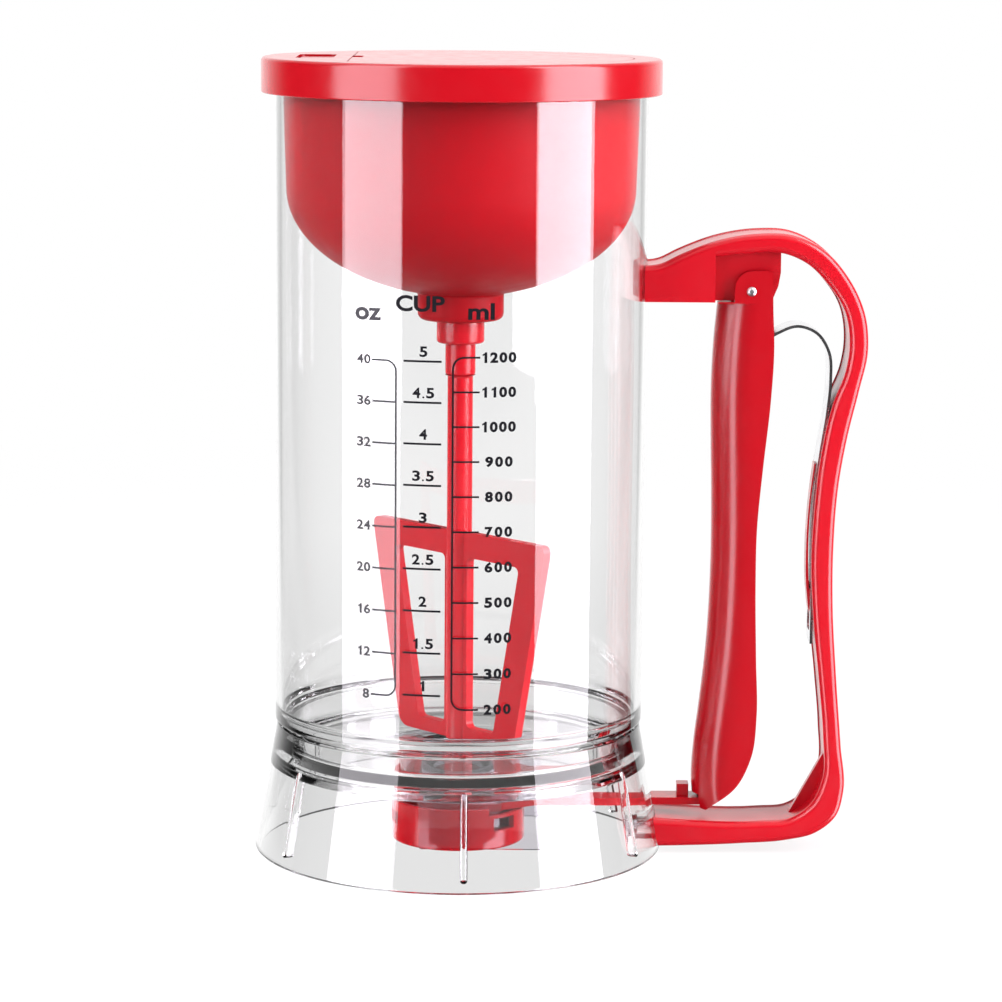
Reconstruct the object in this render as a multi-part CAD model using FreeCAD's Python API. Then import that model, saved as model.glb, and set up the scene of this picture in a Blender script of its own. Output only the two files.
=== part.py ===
import FreeCAD, Part
import math
import os

# Batter mixer and dispenser: a clear jug on a flared skirt, a red lid that carries the batteries, the
# motor and the whisk, and a red handle whose lever pulls a gate valve open under the jug.
# Millimetres. Z up. The origin is on the table, on the jug's axis. The handle is toward +X.

V = FreeCAD.Vector

# Overall
HEIGHT = 250.0
AXIS = V(0, 0, 1)

# Jug
JUG_R = 58.3
JUG_WALL = 2.2
JUG_IN_R = JUG_R - JUG_WALL
LID_TOP_THICK = 2.5
JUG_TOP = HEIGHT - LID_TOP_THICK - 0.05
SHOULDER_Z = 41.5
SPIGOT_R = 55.2
SPIGOT_WALL = 2.0
FLOOR_TOP = 33.0
FLOOR_THICK = 2.2
FLOOR_UNDER = FLOOR_TOP - FLOOR_THICK
OUTLET_R = 8.5
OUTLET_TUBE_R = 10.5
OUTLET_FLANGE_R = 12.2
OUTLET_END = 18.2

# Skirt
SKIRT_BOTTOM_R = 65.0
SKIRT_KINK_R = 59.5
SKIRT_KINK_Z = 30.0
SKIRT_TOP_R = 57.6
SKIRT_WALL = 2.1
RIB_COUNT = 6
RIB_FIRST_DEG = -87.6
RIB_THICK = 2.2
RIB_DEPTH = 3.2

# Valve
SLIDE_LOW = 13.9
SLIDE_THICK = 2.3
SLIDE_TOP = SLIDE_LOW + SLIDE_THICK
GATE_R = 12.5
BAR_HALF = 4.5
CAP_R = 21.2
CAP_WALL = 1.7
CAP_LOW = 2.7
CAP_TOP = 16.0
COLLAR_R = 19.2
COLLAR_IN_R = 17.2
COLLAR_LOW = 7.0
CAP_LOCK_DEG = 18.0
HOOK_COUNT = 3
HOOK_FIRST_DEG = -20.0
WINDOW_FIRST_DEG = -44.0

# Handle and lever
BAND_HALF = 12.0
BEAD_WIDTH = 2.5
BEAD_PROUD = 0.8
PIN_X = 90.4
PIN_Z = 178.8
PIN_R = 1.5
RUNNING = 0.05
LUG_HALF = 7.4
LEVER_HALF = 10.2
CHEEK = 2.4
LEVER_FRONT_WALL = 2.2
SPRING_THICK = 0.5
SPRING_HALF = 7.0
SCREW_Z = 6.5

# Lid and motor unit
LID_R = 62.2
LID_RIM_IN_R = 60.0
LID_RIM_LOW = 239.0
LID_UNDER = HEIGHT - LID_TOP_THICK
COVER_R = 53.5
COVER_CHORD_X = -34.0
COVER_GAP = 0.3
COVER_THICK = 1.4
WELL_X = -45.2
WELL_HALF_X = 5.8
WELL_HALF_Y = 16.0
HOUSING_R = 55.3
HOUSING_WALL = 2.0
BOWL_TOP_Z = 210.0
BOWL_R = 54.5
BOWL_DEPTH = 34.0
BOSS_R = 13.5
BOSS_LOW = 168.5
CELL_R = 7.25
CELL_LENGTH = 50.5
CELL_RING_R = 24.0
CELL_LOW = 192.7
TUBE_WALL = 0.9
SCREW_RING_R = 49.3
SCREW_DEGREES = (0, 110, 250)
EAR_LOW = 243.0
EAR_TOP = 245.4
EAR_THICK = 2.0
MOTOR_R = 12.0
MOTOR_LOW = 184.0
MOTOR_TOP = 212.0
SHAFT_R = 1.0

# Whisk
WHISK_DEG = -47.1
WHISK_TOP = 101.5
WHISK_TOP_HALF = 40.2
WHISK_LOW = 34.4
WHISK_LOW_HALF = 27.2
WHISK_THICK = 3.0
WHISK_SHAFT_R = 4.0
HUB_R = 4.75
HUB_LOW = 151.1
COUPLING_LOW = 161.2
COUPLING_TOP = 168.2
COUPLING_R = 7.5


def box(x0, x1, y0, y1, z0, z1):
    """A block between two corners."""
    return Part.makeBox(x1 - x0, y1 - y0, z1 - z0, V(x0, y0, z0))


def rod(radius, z0, z1, x=0.0, y=0.0):
    """An upright cylinder."""
    return Part.makeCylinder(radius, z1 - z0, V(x, y, z0), AXIS)


def ring(outer, inner, z0, z1, x=0.0, y=0.0):
    """An upright tube."""
    return rod(outer, z0, z1, x, y).cut(rod(inner, z0 - 1, z1 + 1, x, y))


def cross_rod(radius, x, z, y0, y1):
    """A cylinder along Y."""
    return Part.makeCylinder(radius, y1 - y0, V(x, y0, z), V(0, 1, 0))


def at_angle(shape, degrees):
    """The shape turned about the jug's axis."""
    turned = shape.copy()
    turned.rotate(V(0, 0, 0), AXIS, degrees)
    return turned


def fused(shapes):
    """One solid from touching shapes."""
    return shapes[0].fuse(list(shapes[1:])).removeSplitter()


def outline(start, *steps):
    """A closed outline in the XZ plane. A pair is a line's end, four numbers are an arc's middle and end,
    and a list is a chain of arcs, each with two of its points."""
    edges = []
    here = V(start[0], 0, start[1])
    for step in steps:
        if isinstance(step, list):
            for i in range(0, len(step), 2):
                middle = V(step[i][0], 0, step[i][1])
                end = V(step[i + 1][0], 0, step[i + 1][1])
                edges.append(Part.Arc(here, middle, end).toShape())
                here = end
        elif len(step) == 4:
            middle = V(step[0], 0, step[1])
            end = V(step[2], 0, step[3])
            edges.append(Part.Arc(here, middle, end).toShape())
            here = end
        else:
            end = V(step[0], 0, step[1])
            edges.append(Part.LineSegment(here, end).toShape())
            here = end
    first = V(start[0], 0, start[1])
    if here.distanceToPoint(first) > 1e-6:
        edges.append(Part.LineSegment(here, first).toShape())
    return Part.Wire(edges)


def revolved(wire):
    """A solid of revolution about the jug's axis."""
    return Part.Face(wire).revolve(V(0, 0, 0), AXIS, 360)


def side_plate(wire, y0, y1):
    """The outline in the XZ plane, made solid from y0 to y1."""
    face = Part.Face(wire)
    face.translate(V(0, y0, 0))
    return face.extrude(V(0, y1 - y0, 0))


def sector(r_in, r_out, z0, z1, from_deg, to_deg):
    """A piece of a tube between two angles."""
    wire = outline((r_in, z0), (r_out, z0), (r_out, z1), (r_in, z1))
    piece = Part.Face(wire).revolve(V(0, 0, 0), AXIS, to_deg - from_deg)
    return at_angle(piece, from_deg)


def bowl_r(z, offset):
    """Radius of the motor housing's bowl at a height, on an ellipse shrunk by the offset."""
    share = (BOWL_TOP_Z - z) / (BOWL_DEPTH - offset)
    return (BOWL_R - offset) * math.sqrt(1 - share * share)


def skirt_r(z):
    """Outer radius of the flared skirt below its kink."""
    return SKIRT_BOTTOM_R + (SKIRT_KINK_R - SKIRT_BOTTOM_R) * z / SKIRT_KINK_Z


def jug():
    """The wall with its drawn-in spigot, and the seat of the handle."""
    spigot_in = SPIGOT_R - SPIGOT_WALL
    shell = revolved(outline(
        (spigot_in, FLOOR_UNDER),
        (SPIGOT_R, FLOOR_UNDER),
        (SPIGOT_R, SHOULDER_Z),
        (JUG_R, SHOULDER_Z),
        (JUG_R, JUG_TOP),
        (JUG_IN_R, JUG_TOP),
        (JUG_IN_R, SHOULDER_Z + 4.5),
        (spigot_in, SHOULDER_Z + 0.5),
    ))
    return fused([shell] + handle_seat())


def jug_floor():
    """The jug's floor with its outlet tube. It is one moulding with the wall."""
    return revolved(outline(
        (OUTLET_R, OUTLET_END),
        (OUTLET_FLANGE_R, OUTLET_END),
        (OUTLET_FLANGE_R, OUTLET_END + 1.5),
        (OUTLET_TUBE_R, OUTLET_END + 1.5),
        (OUTLET_TUBE_R, FLOOR_UNDER),
        (SPIGOT_R - SPIGOT_WALL, FLOOR_UNDER),
        (SPIGOT_R - SPIGOT_WALL, FLOOR_TOP),
        (OUTLET_R + 4.0, FLOOR_TOP),
        (OUTLET_R, FLOOR_TOP - 1.0),
    ))


def handle_seat():
    """The raised pad on the jug's wall and the T-shaped rail that the handle slides on."""
    half = 11.6
    pad_r = JUG_R + 0.9
    wide = Part.Face(Part.makePolygon([
        V(40, -22, 203), V(40, -half, 187.5), V(40, -half, 174.5),
        V(40, half, 174.5), V(40, half, 187.5), V(40, 22, 203), V(40, -22, 203),
    ])).extrude(V(30, 0, 0))
    pad = wide.common(ring(pad_r, JUG_R - 0.6, 170, 206))
    neck = box(JUG_R - 0.5, 62.0, -2.6, 2.6, 176.0, 185.5)
    head = box(61.0, 62.8, -4.8, 4.8, 176.0, 185.5)
    return [pad, neck, head]


def valve_guide():
    """The clear collar under the floor: it guides the gate, and the nozzle cap locks on it."""
    collar = ring(COLLAR_R, COLLAR_IN_R, COLLAR_LOW, FLOOR_UNDER)
    top = ring(24.0, OUTLET_TUBE_R, FLOOR_UNDER - 2.0, FLOOR_UNDER)
    gate_way = box(8, 24, -GATE_R - 0.7, GATE_R + 0.7, SLIDE_LOW - 0.5, SLIDE_TOP + 0.6)
    collar = collar.cut(gate_way)
    for i in range(HOOK_COUNT):
        start = HOOK_FIRST_DEG + i * 360 / HOOK_COUNT
        run = sector(16, 20, 9.2, 12.3, start - 8, start + CAP_LOCK_DEG + 9)
        way_out = sector(16, 20, 6, 12.3, start + CAP_LOCK_DEG - 9, start + CAP_LOCK_DEG + 9)
        collar = collar.cut(run).cut(way_out)
    rails = []
    for side in (-1, 1):
        rail = side_plate(outline(
            (-12, 4), (30, 4), (24, FLOOR_UNDER - 1), (-12, FLOOR_UNDER - 1),
        ), -0.8, 0.8)
        rail.translate(V(0, side * 22.6, 0))
        rails.append(rail)
    shelf = box(-12, 24, -23.4, 23.4, FLOOR_UNDER - 2.0, FLOOR_UNDER).cut(rod(OUTLET_TUBE_R, 20, 40))
    return fused([collar, top, shelf] + rails)


def base_skirt():
    inner_kink = SKIRT_KINK_R - SKIRT_WALL
    shell = revolved(outline(
        (SKIRT_BOTTOM_R - SKIRT_WALL, 0),
        (SKIRT_BOTTOM_R, 0),
        (SKIRT_KINK_R, SKIRT_KINK_Z),
        (SKIRT_TOP_R, SHOULDER_Z - 0.8),
        (SPIGOT_R, SHOULDER_Z - 0.8),
        (SPIGOT_R, FLOOR_UNDER),
        (52.0, FLOOR_UNDER),
        (52.0, FLOOR_UNDER - 1.6),
        (inner_kink, FLOOR_UNDER - 1.6),
    ))
    pieces = [shell]
    for i in range(RIB_COUNT):
        low = skirt_r(3.0) - SKIRT_WALL + 0.3
        high = skirt_r(28.0) - SKIRT_WALL + 0.3
        rib = side_plate(outline(
            (low, 3.0), (high, 28.0), (high, FLOOR_UNDER - 1.0), (high - RIB_DEPTH, FLOOR_UNDER - 1.0),
            (low - RIB_DEPTH, 3.0),
        ), -RIB_THICK / 2, RIB_THICK / 2)
        pieces.append(at_angle(rib, RIB_FIRST_DEG + i * 360 / RIB_COUNT))
    boss = Part.makeCylinder(4.6, 8.0, V(57.0, 0, SCREW_Z), V(1, 0, 0))
    cone = Part.makeCone(SKIRT_BOTTOM_R - 0.5, skirt_r(SKIRT_KINK_Z) - 0.5, SKIRT_KINK_Z)
    pieces.append(boss.common(cone))
    skirt = fused(pieces)
    bar_window = box(50, 70, -BAR_HALF - 0.7, BAR_HALF + 0.7, SLIDE_LOW - 0.7, SLIDE_TOP + 0.8)
    screw_hole = Part.makeCylinder(1.9, 20, V(50, 0, SCREW_Z), V(1, 0, 0))
    return skirt.cut(bar_window).cut(screw_hole)


def valve_seal():
    """Soft ring that the gate closes against."""
    return ring(OUTLET_FLANGE_R - 0.2, OUTLET_R, SLIDE_TOP + 0.1, OUTLET_END)


def valve_slide():
    """The gate, its flat bar, and the two tabs that hold the lever's front wall between them."""
    bar_end = 80.0
    gate = rod(GATE_R, SLIDE_LOW, SLIDE_TOP)
    blade = Part.Face(Part.makePolygon([
        V(0, -GATE_R, SLIDE_LOW), V(12, -GATE_R, SLIDE_LOW), V(24, -BAR_HALF, SLIDE_LOW),
        V(bar_end, -BAR_HALF, SLIDE_LOW), V(bar_end, BAR_HALF, SLIDE_LOW), V(24, BAR_HALF, SLIDE_LOW),
        V(12, GATE_R, SLIDE_LOW), V(0, GATE_R, SLIDE_LOW), V(0, -GATE_R, SLIDE_LOW),
    ])).extrude(V(0, 0, SLIDE_THICK))
    outer_tab = box(69.8, 73.6, -2.6, 2.6, SLIDE_LOW, 20.2)
    inner_tab = box(77.3, bar_end, -BAR_HALF, BAR_HALF, SLIDE_LOW, 20.2)
    return fused([gate, blade, outer_tab, inner_tab])


def nozzle_cap():
    """The cup that closes the valve from below, with the outlet nozzle in its floor."""
    inner = CAP_R - CAP_WALL
    floor = 2.0
    wall = ring(CAP_R, inner, CAP_LOW, CAP_TOP)
    cap = wall.fuse(ring(CAP_R, OUTLET_R, CAP_LOW, CAP_LOW + floor))
    cap = cap.fuse(ring(GATE_R + 0.8, OUTLET_R, CAP_LOW, SLIDE_LOW - 0.1))
    for i in range(HOOK_COUNT):
        start = HOOK_FIRST_DEG + i * 360 / HOOK_COUNT
        cap = cap.fuse(sector(17.9, inner + 0.2, 9.6, 11.9, start - 6, start + 6))
    way = math.degrees(math.asin((GATE_R + 1.0) / inner))
    cap = cap.cut(sector(COLLAR_IN_R, CAP_R + 1, SLIDE_LOW - 0.4, CAP_TOP + 1, -way - CAP_LOCK_DEG, way))
    for i in range(HOOK_COUNT):
        start = WINDOW_FIRST_DEG + i * 360 / HOOK_COUNT
        cap = cap.cut(sector(inner - 0.2, CAP_R + 1, 8.6, 12.6, start - 13, start + 11))
    return cap.removeSplitter()


def inset(points, depth):
    """The points of a curve moved square to it, to the right of the way it runs."""
    moved = []
    for i, (x, z) in enumerate(points):
        before = points[max(i - 1, 0)]
        after = points[min(i + 1, len(points) - 1)]
        along = V(after[0] - before[0], 0, after[1] - before[1]).normalize()
        moved.append((x + along.z * depth, z - along.x * depth))
    return moved


def handle_outline(depth):
    """The C-shaped band from the side, with its outer and inner faces sunk by the depth."""
    outer = inset([
        (50.0, 187.0), (62.0, 187.4), (68.0, 190.3), (80.2, 194.9), (92.5, 196.9), (103.0, 196.4),
        (112.5, 191.9), (120.7, 182.8), (126.0, 171.0), (126.9, 160.5), (124.4, 148.0), (121.2, 134.0),
        (118.7, 118.5), (117.5, 98.0), (117.7, 80.0), (119.2, 58.0), (121.2, 35.0), (122.4, 20.0),
        (120.2, 12.0), (113.5, 6.3), (105.0, 4.1), (89.8, 2.8), (55.0, 1.5)], depth)
    inner = inset([
        (55.0, 11.2), (97.0, 10.3), (105.5, 11.2), (112.0, 15.8), (115.6, 24.0), (115.5, 38.0),
        (114.0, 54.0), (111.6, 76.0), (110.6, 94.6), (111.2, 110.0), (113.0, 128.0), (116.6, 144.8),
        (119.9, 153.5), (121.1, 163.0), (119.3, 173.0), (113.5, 181.8), (107.5, 187.5), (99.0, 190.9),
        (89.5, 190.7), (79.0, 189.6)], depth)
    return outline(
        (50.0, 175.5),
        outer[0],
        outer[1],
        outer[2:-1],
        outer[-1],
        inner[0],
        inner[1],
        inner[2:-2],
        inner[-2],
        inner[-1],
        (79.0, 175.5),
    )


def handle():
    rim = handle_outline(0.0)
    inside = BAND_HALF - BEAD_WIDTH
    band = side_plate(handle_outline(BEAD_PROUD), -inside, inside)
    lug = side_plate(outline(
        (78.0, 175.7), (98.0, 175.7), (99.8, 178.5), (99.8, 191.5), (78.0, 190.5),
    ), -LUG_HALF, LUG_HALF)
    gusset = side_plate(outline(
        (103.0, 8.0), (105.5, 10.4), (116.8, 31.0), (119.0, 34.0), (119.0, 8.0),
    ), -8.0, 8.0)
    pieces = [band, lug, gusset, spring_tongue()]
    for side in (-1, 1):
        near = side * inside
        far = side * BAND_HALF
        pieces.append(side_plate(rim, min(near, far), max(near, far)))
    whole = fused(pieces)
    whole = whole.cut(rod(JUG_R + 0.9, 160, 210))
    whole = whole.cut(Part.makeCone(SKIRT_BOTTOM_R, skirt_r(SKIRT_KINK_Z), SKIRT_KINK_Z))
    rail_slot = box(58.0, 61.0, -2.6, 2.6, 174.0, 185.5)
    rail_slot = rail_slot.fuse(box(61.0, 62.8, -4.8, 4.8, 174.0, 185.5))
    whole = whole.cut(rail_slot)
    whole = whole.cut(cross_rod(PIN_R + RUNNING, PIN_X, PIN_Z, -15, 15))
    return whole.cut(Part.makeCylinder(1.5, 20, V(60, 0, SCREW_Z), V(1, 0, 0)))


def spring_tongue():
    """The hook inside the grip that keeps the leaf spring's straight end against the handle."""
    return side_plate(outline(
        (114.5, 71.5),
        [(111.4, 75.0), (110.0, 82.6), (109.5, 97.0), (111.5, 124.0)],
        (112.0, 124.0),
        [(110.2, 98.0), (110.6, 84.0)],
        (114.5, 84.0),
    ), -3.2, 3.2)


def handle_screw():
    head = Part.makeCylinder(3.4, 2.0, V(55.0, 0, SCREW_Z), V(1, 0, 0))
    shank = Part.makeCylinder(1.5, 20.5, V(56.5, 0, SCREW_Z), V(1, 0, 0))
    slot = box(54.0, 55.9, -3.0, 3.0, SCREW_Z - 0.4, SCREW_Z + 0.4)
    return head.fuse(shank).cut(slot)


def lever_nose(shift, half, corner):
    """The lever's rounded front as a solid that runs on to +X, moved into the lever by the shift."""
    front = [(77.4, 6.0), (75.2, 14.0), (74.4, 22.0), (76.4, 46.0), (78.4, 66.0), (79.4, 88.0),
             (79.4, 112.0), (78.7, 148.0), (80.4, 176.0)]
    soft = corner * (1 - math.sqrt(0.5))
    sections = []
    for x, z in front:
        nose = x + shift
        y = half - corner
        sections.append(Part.Wire([
            Part.LineSegment(V(112, -half, z), V(nose + corner, -half, z)).toShape(),
            Part.Arc(V(nose + corner, -half, z), V(nose + soft, soft - half, z), V(nose, -y, z)).toShape(),
            Part.LineSegment(V(nose, -y, z), V(nose, y, z)).toShape(),
            Part.Arc(V(nose, y, z), V(nose + soft, half - soft, z), V(nose + corner, half, z)).toShape(),
            Part.LineSegment(V(nose + corner, half, z), V(112, half, z)).toShape(),
            Part.LineSegment(V(112, half, z), V(112, -half, z)).toShape(),
        ]))
    return Part.makeLoft(sections, True, True)


def lever():
    side = side_plate(outline(
        (60.0, 12.8),
        (60.0, 174.5),
        (85.0, 174.5),
        (85.6, 180.6),
        (91.0, 185.6, 96.4, 180.6),
        (97.2, 173.0),
        [(97.7, 161.0), (97.0, 145.0), (94.9, 123.0), (93.4, 104.0), (93.3, 86.0), (93.9, 62.0),
         (94.4, 44.0), (93.0, 31.0), (88.6, 21.4), (80.5, 14.2)],
        (78.0, 12.8),
    ), -LEVER_HALF, LEVER_HALF)
    ears = box(60, 112, -LEVER_HALF, LEVER_HALF, 176.0, 190.0)
    body = lever_nose(0.0, LEVER_HALF, 7.0).fuse(ears).common(side)
    inside = LEVER_HALF - CHEEK
    hollow = lever_nose(LEVER_FRONT_WALL, inside, 5.0).cut(box(60, 86.4, -20, 20, 172.3, 200))
    shell = body.cut(hollow).cut(box(86.4, 112, -inside, inside, 170, 195))
    shell = shell.cut(box(60, 112, -inside, inside, 170, 195).cut(box(60, 86.4, -20, 20, 160, 174.6)))
    pieces = [shell]
    for z in (40.0, 66.0, 92.0, 118.0, 144.0):
        web = box(76.0, 89.0, -inside - 0.5, inside + 0.5, z - 0.7, z + 0.7).common(body)
        pieces.append(web)
    seat = box(80.0, 93.5, -inside - 0.5, inside + 0.5, 158.4, 159.8).common(body)
    stop = box(92.3, 93.5, -inside - 0.5, inside + 0.5, 158.4, 160.4).common(body)
    pieces += [seat, stop]
    whole = fused(pieces)
    notch = box(70, 80, -BAR_HALF - 0.8, BAR_HALF + 0.8, 5, 17.5)
    return whole.cut(notch).cut(cross_rod(PIN_R, PIN_X, PIN_Z, -15, 15))


def lever_pin():
    return cross_rod(PIN_R, PIN_X, PIN_Z, -LEVER_HALF - 0.6, LEVER_HALF + 0.6)


def leaf_spring():
    """A bent strip: one end in the lever, the other behind the tongue of the handle."""
    middle = [
        (87.0, 160.3), (93.0, 161.4), (98.4, 164.4), (105.2, 168.0), (111.0, 165.6), (114.6, 159.6),
        (115.3, 151.0), (114.6, 141.5), (112.6, 127.5), (111.1, 113.0), (110.7, 98.0), (110.9, 84.0),
        (110.9, 67.0)]
    outer = inset(middle, -SPRING_THICK)
    middle.reverse()
    blade = side_plate(outline(outer[0], outer[1:], middle[0], middle[1:]), -SPRING_HALF, SPRING_HALF)
    return blade.cut(box(105, 116, -3.8, 3.8, 70.5, 86.0))


def d_plate(radius, chord_x, z0, z1):
    """A disc cut off along a chord on the button's side."""
    return rod(radius, z0, z1).cut(box(-80, chord_x, -80, 80, z0 - 1, z1 + 1))


def well(grow, z0, z1):
    """The oblong hole of the button, with rounded corners."""
    block = box(WELL_X - WELL_HALF_X - grow, WELL_X + WELL_HALF_X + grow,
                -WELL_HALF_Y - grow, WELL_HALF_Y + grow, z0, z1)
    upright = [e for e in block.Edges if abs(e.Vertexes[0].Z - e.Vertexes[-1].Z) > 0.5]
    return block.makeFillet(2.5 + grow, upright)


def lid():
    edge = 1.0
    cap = revolved(outline(
        (0, LID_UNDER),
        (LID_RIM_IN_R, LID_UNDER),
        (LID_RIM_IN_R, LID_RIM_LOW),
        (LID_R, LID_RIM_LOW),
        (LID_R, HEIGHT - edge),
        (LID_R - edge, HEIGHT),
        (0, HEIGHT),
    ))
    recess = d_plate(COVER_R, COVER_CHORD_X, HEIGHT - COVER_THICK - 0.1, HEIGHT + 1)
    mouth = d_plate(COVER_R - 3.0, COVER_CHORD_X + 3.0, LID_UNDER - 1, HEIGHT)
    cap = cap.cut(recess).cut(mouth)
    tube = rod(HOUSING_R - HOUSING_WALL - 0.2, EAR_LOW, LID_UNDER)
    sleeve = well(1.2, EAR_LOW, LID_UNDER).common(tube)
    ears = [rod(3.8, EAR_LOW, EAR_TOP, x, y).common(tube) for x, y in screw_places()]
    walls = tube.cut(rod(COVER_R - 3.0, EAR_LOW - 1, LID_UNDER + 1))
    whole = fused([cap, sleeve, walls] + ears)
    whole = whole.cut(well(0.0, EAR_LOW - 1, HEIGHT + 1))
    for x, y in screw_places():
        whole = whole.cut(rod(1.5, 235.0, 249.0, x, y)).cut(rod(2.8, EAR_TOP, LID_UNDER, x, y))
    return whole


def screw_places():
    """Axes of the three screws that hold the motor housing under the lid."""
    return [(SCREW_RING_R * math.cos(math.radians(a)), SCREW_RING_R * math.sin(math.radians(a)))
            for a in SCREW_DEGREES]


def battery_cover():
    plate = d_plate(COVER_R - COVER_GAP, COVER_CHORD_X + COVER_GAP, HEIGHT - COVER_THICK, HEIGHT)
    rim = d_plate(COVER_R - 3.4, COVER_CHORD_X + 3.4, 246.0, HEIGHT - 1)
    rim = rim.cut(d_plate(COVER_R - 5.0, COVER_CHORD_X + 5.0, 245.0, HEIGHT - COVER_THICK))
    for x, y in screw_places():
        rim = rim.cut(rod(3.6, 240, 249, x, y))
    presser = ring(26.0, 22.0, CELL_LOW + CELL_LENGTH + 0.6, HEIGHT - 1)
    whole = fused([plate, rim, presser])
    notch = cross_rod(4.0, COVER_CHORD_X + 1.0, HEIGHT + 3.2, -6.0, 6.0)
    return whole.cut(notch)


def power_button():
    cap = box(WELL_X - WELL_HALF_X + 0.4, WELL_X + WELL_HALF_X - 0.4, -WELL_HALF_Y + 0.4, WELL_HALF_Y - 0.4,
              246.6, HEIGHT - 0.6)
    upright = [e for e in cap.Edges if abs(e.Vertexes[0].Z - e.Vertexes[-1].Z) > 0.5]
    cap = cap.makeFillet(2.1, upright)
    stem = rod(2.0, 243.0, 247.0, WELL_X, 0)
    return cap.fuse(stem).removeSplitter()


def power_switch():
    body = box(WELL_X - 4.0, WELL_X + 4.0, -4.0, 4.0, 233.0, 241.4)
    plunger = rod(1.6, 241.0, 241.7, WELL_X, 0)
    legs = [box(WELL_X - 0.3, WELL_X + 0.3, y - 1.0, y + 1.0, 229.5, 233.2) for y in (-2.2, 2.2)]
    return fused([body, plunger] + legs)


def motor_housing():
    def bowl(offset, low):
        steps = [BOWL_TOP_Z - (BOWL_TOP_Z - low) * share for share in (0.42, 0.74, 0.92, 1.0)]
        return [(bowl_r(z, offset), z) for z in steps]
    boss_top = BOWL_TOP_Z - BOWL_DEPTH * math.sqrt(1 - (BOSS_R / BOWL_R) ** 2)
    inner_r = BOWL_R - HOUSING_WALL
    inner_depth = BOWL_DEPTH - HOUSING_WALL
    low_in_z = BOWL_TOP_Z - inner_depth * math.sqrt(1 - (9.0 / inner_r) ** 2)
    shell = revolved(outline(
        (SHAFT_R + 2.2, BOSS_LOW),
        (BOSS_R - 1.0, BOSS_LOW),
        (BOSS_R, BOSS_LOW + 1.5),
        (BOSS_R, boss_top),
        *reversed(bowl(0.0, boss_top)[:-1]),
        (BOWL_R, BOWL_TOP_Z),
        (HOUSING_R, LID_UNDER),
        (HOUSING_R - HOUSING_WALL, LID_UNDER),
        (inner_r, BOWL_TOP_Z),
        *bowl(HOUSING_WALL, low_in_z),
        (9.0, 174.0),
        (SHAFT_R + 2.2, 174.0),
    ))
    pieces = [shell]
    for x, y in screw_places():
        pieces.append(rod(3.6, 215.0, EAR_LOW - EAR_THICK, x, y).common(rod(BOWL_R, 200, EAR_LOW)))
    for i in range(3):
        post = rod(2.4, 178.0, 182.0, 15.5, 0)
        pieces.append(at_angle(post, 60 + i * 120))
    pieces.append(box(-BOWL_R, WELL_X + 5.5, -5.5, 5.5, 226.0, 233.0).common(rod(BOWL_R, 200, 240)))
    whole = fused(pieces)
    whole = whole.cut(box(WELL_X - 3.4, WELL_X + 3.4, -3.4, 3.4, 228.0, 234.0))
    for x, y in screw_places():
        whole = whole.cut(rod(1.25, 222.0, EAR_LOW, x, y))
    return whole


def housing_screws():
    pieces = []
    for x, y in screw_places():
        head = rod(2.5, EAR_TOP, EAR_TOP + 1.7, x, y)
        shank = rod(1.25, 224.0, EAR_TOP + 0.5, x, y)
        pieces.append(head.fuse(shank))
    return Part.makeCompound(pieces)


def cell_places():
    """Axes of the four upright cells."""
    return [(CELL_RING_R * math.cos(math.radians(a)), CELL_RING_R * math.sin(math.radians(a)))
            for a in (45, 135, 225, 315)]


def battery_tray():
    """Four open tubes for the cells round a middle tube for the motor."""
    floor_low = CELL_LOW - 5.5
    tube_in = CELL_R + 0.25
    tube_out = tube_in + TUBE_WALL
    top = EAR_LOW
    middle = ring(MOTOR_R + 1.4, MOTOR_R + 0.3, floor_low, top)
    pieces = [middle]
    for x, y in cell_places():
        pieces.append(ring(tube_out, tube_in, floor_low, top, x, y))
        pieces.append(rod(tube_out, floor_low, floor_low + 1.2, x, y))
    plate = rod(44.0, top - EAR_THICK, top).cut(rod(MOTOR_R + 0.3, top - 3, top + 1))
    plate = plate.cut(box(-60, -36.0, -60, 60, top - 3, top + 1))
    for x, y in cell_places():
        plate = plate.cut(rod(tube_in, top - 3, top + 1, x, y))
    pieces.append(plate)
    for degrees in SCREW_DEGREES:
        arm = box(40.0, SCREW_RING_R + 3.0, -4.0, 4.0, top - EAR_THICK, top)
        arm = arm.cut(rod(1.5, top - 3, top + 1, SCREW_RING_R, 0))
        pieces.append(at_angle(arm, degrees))
    whole = fused(pieces)
    for x, y in cell_places():
        whole = whole.cut(rod(tube_in, floor_low + 1.2, top + 1, x, y))
    return whole.cut(rod(MOTOR_R + 0.3, floor_low - 1, top + 1))


def batteries():
    pieces = []
    for i, (x, y) in enumerate(cell_places()):
        can = rod(CELL_R, CELL_LOW, CELL_LOW + CELL_LENGTH - 1.5, x, y)
        nub = rod(2.6, CELL_LOW + CELL_LENGTH - 2.0, CELL_LOW + CELL_LENGTH, x, y)
        cell = can.fuse(nub)
        if i % 2:
            middle = V(x, y, CELL_LOW + CELL_LENGTH / 2)
            cell.rotate(middle, V(1, 0, 0), 180)
        pieces.append(cell)
    return Part.makeCompound(pieces)


def contact_springs():
    """A bent spring leaf under each cell."""
    low = CELL_LOW - 4.3
    thick = 0.4
    pieces = []
    for x, y in cell_places():
        leaf = side_plate(outline(
            (-4.5, low), (4.5, low), (4.5, low + thick), (-2.2, low + thick),
            (2.6, CELL_LOW - thick), (4.0, CELL_LOW - 1.2), (4.3, CELL_LOW - 0.9), (2.8, CELL_LOW),
            (2.2, CELL_LOW), (-4.5, low + 1.4),
        ), -2.5, 2.5)
        leaf.translate(V(x, y, 0))
        pieces.append(leaf)
    return Part.makeCompound(pieces)


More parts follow.
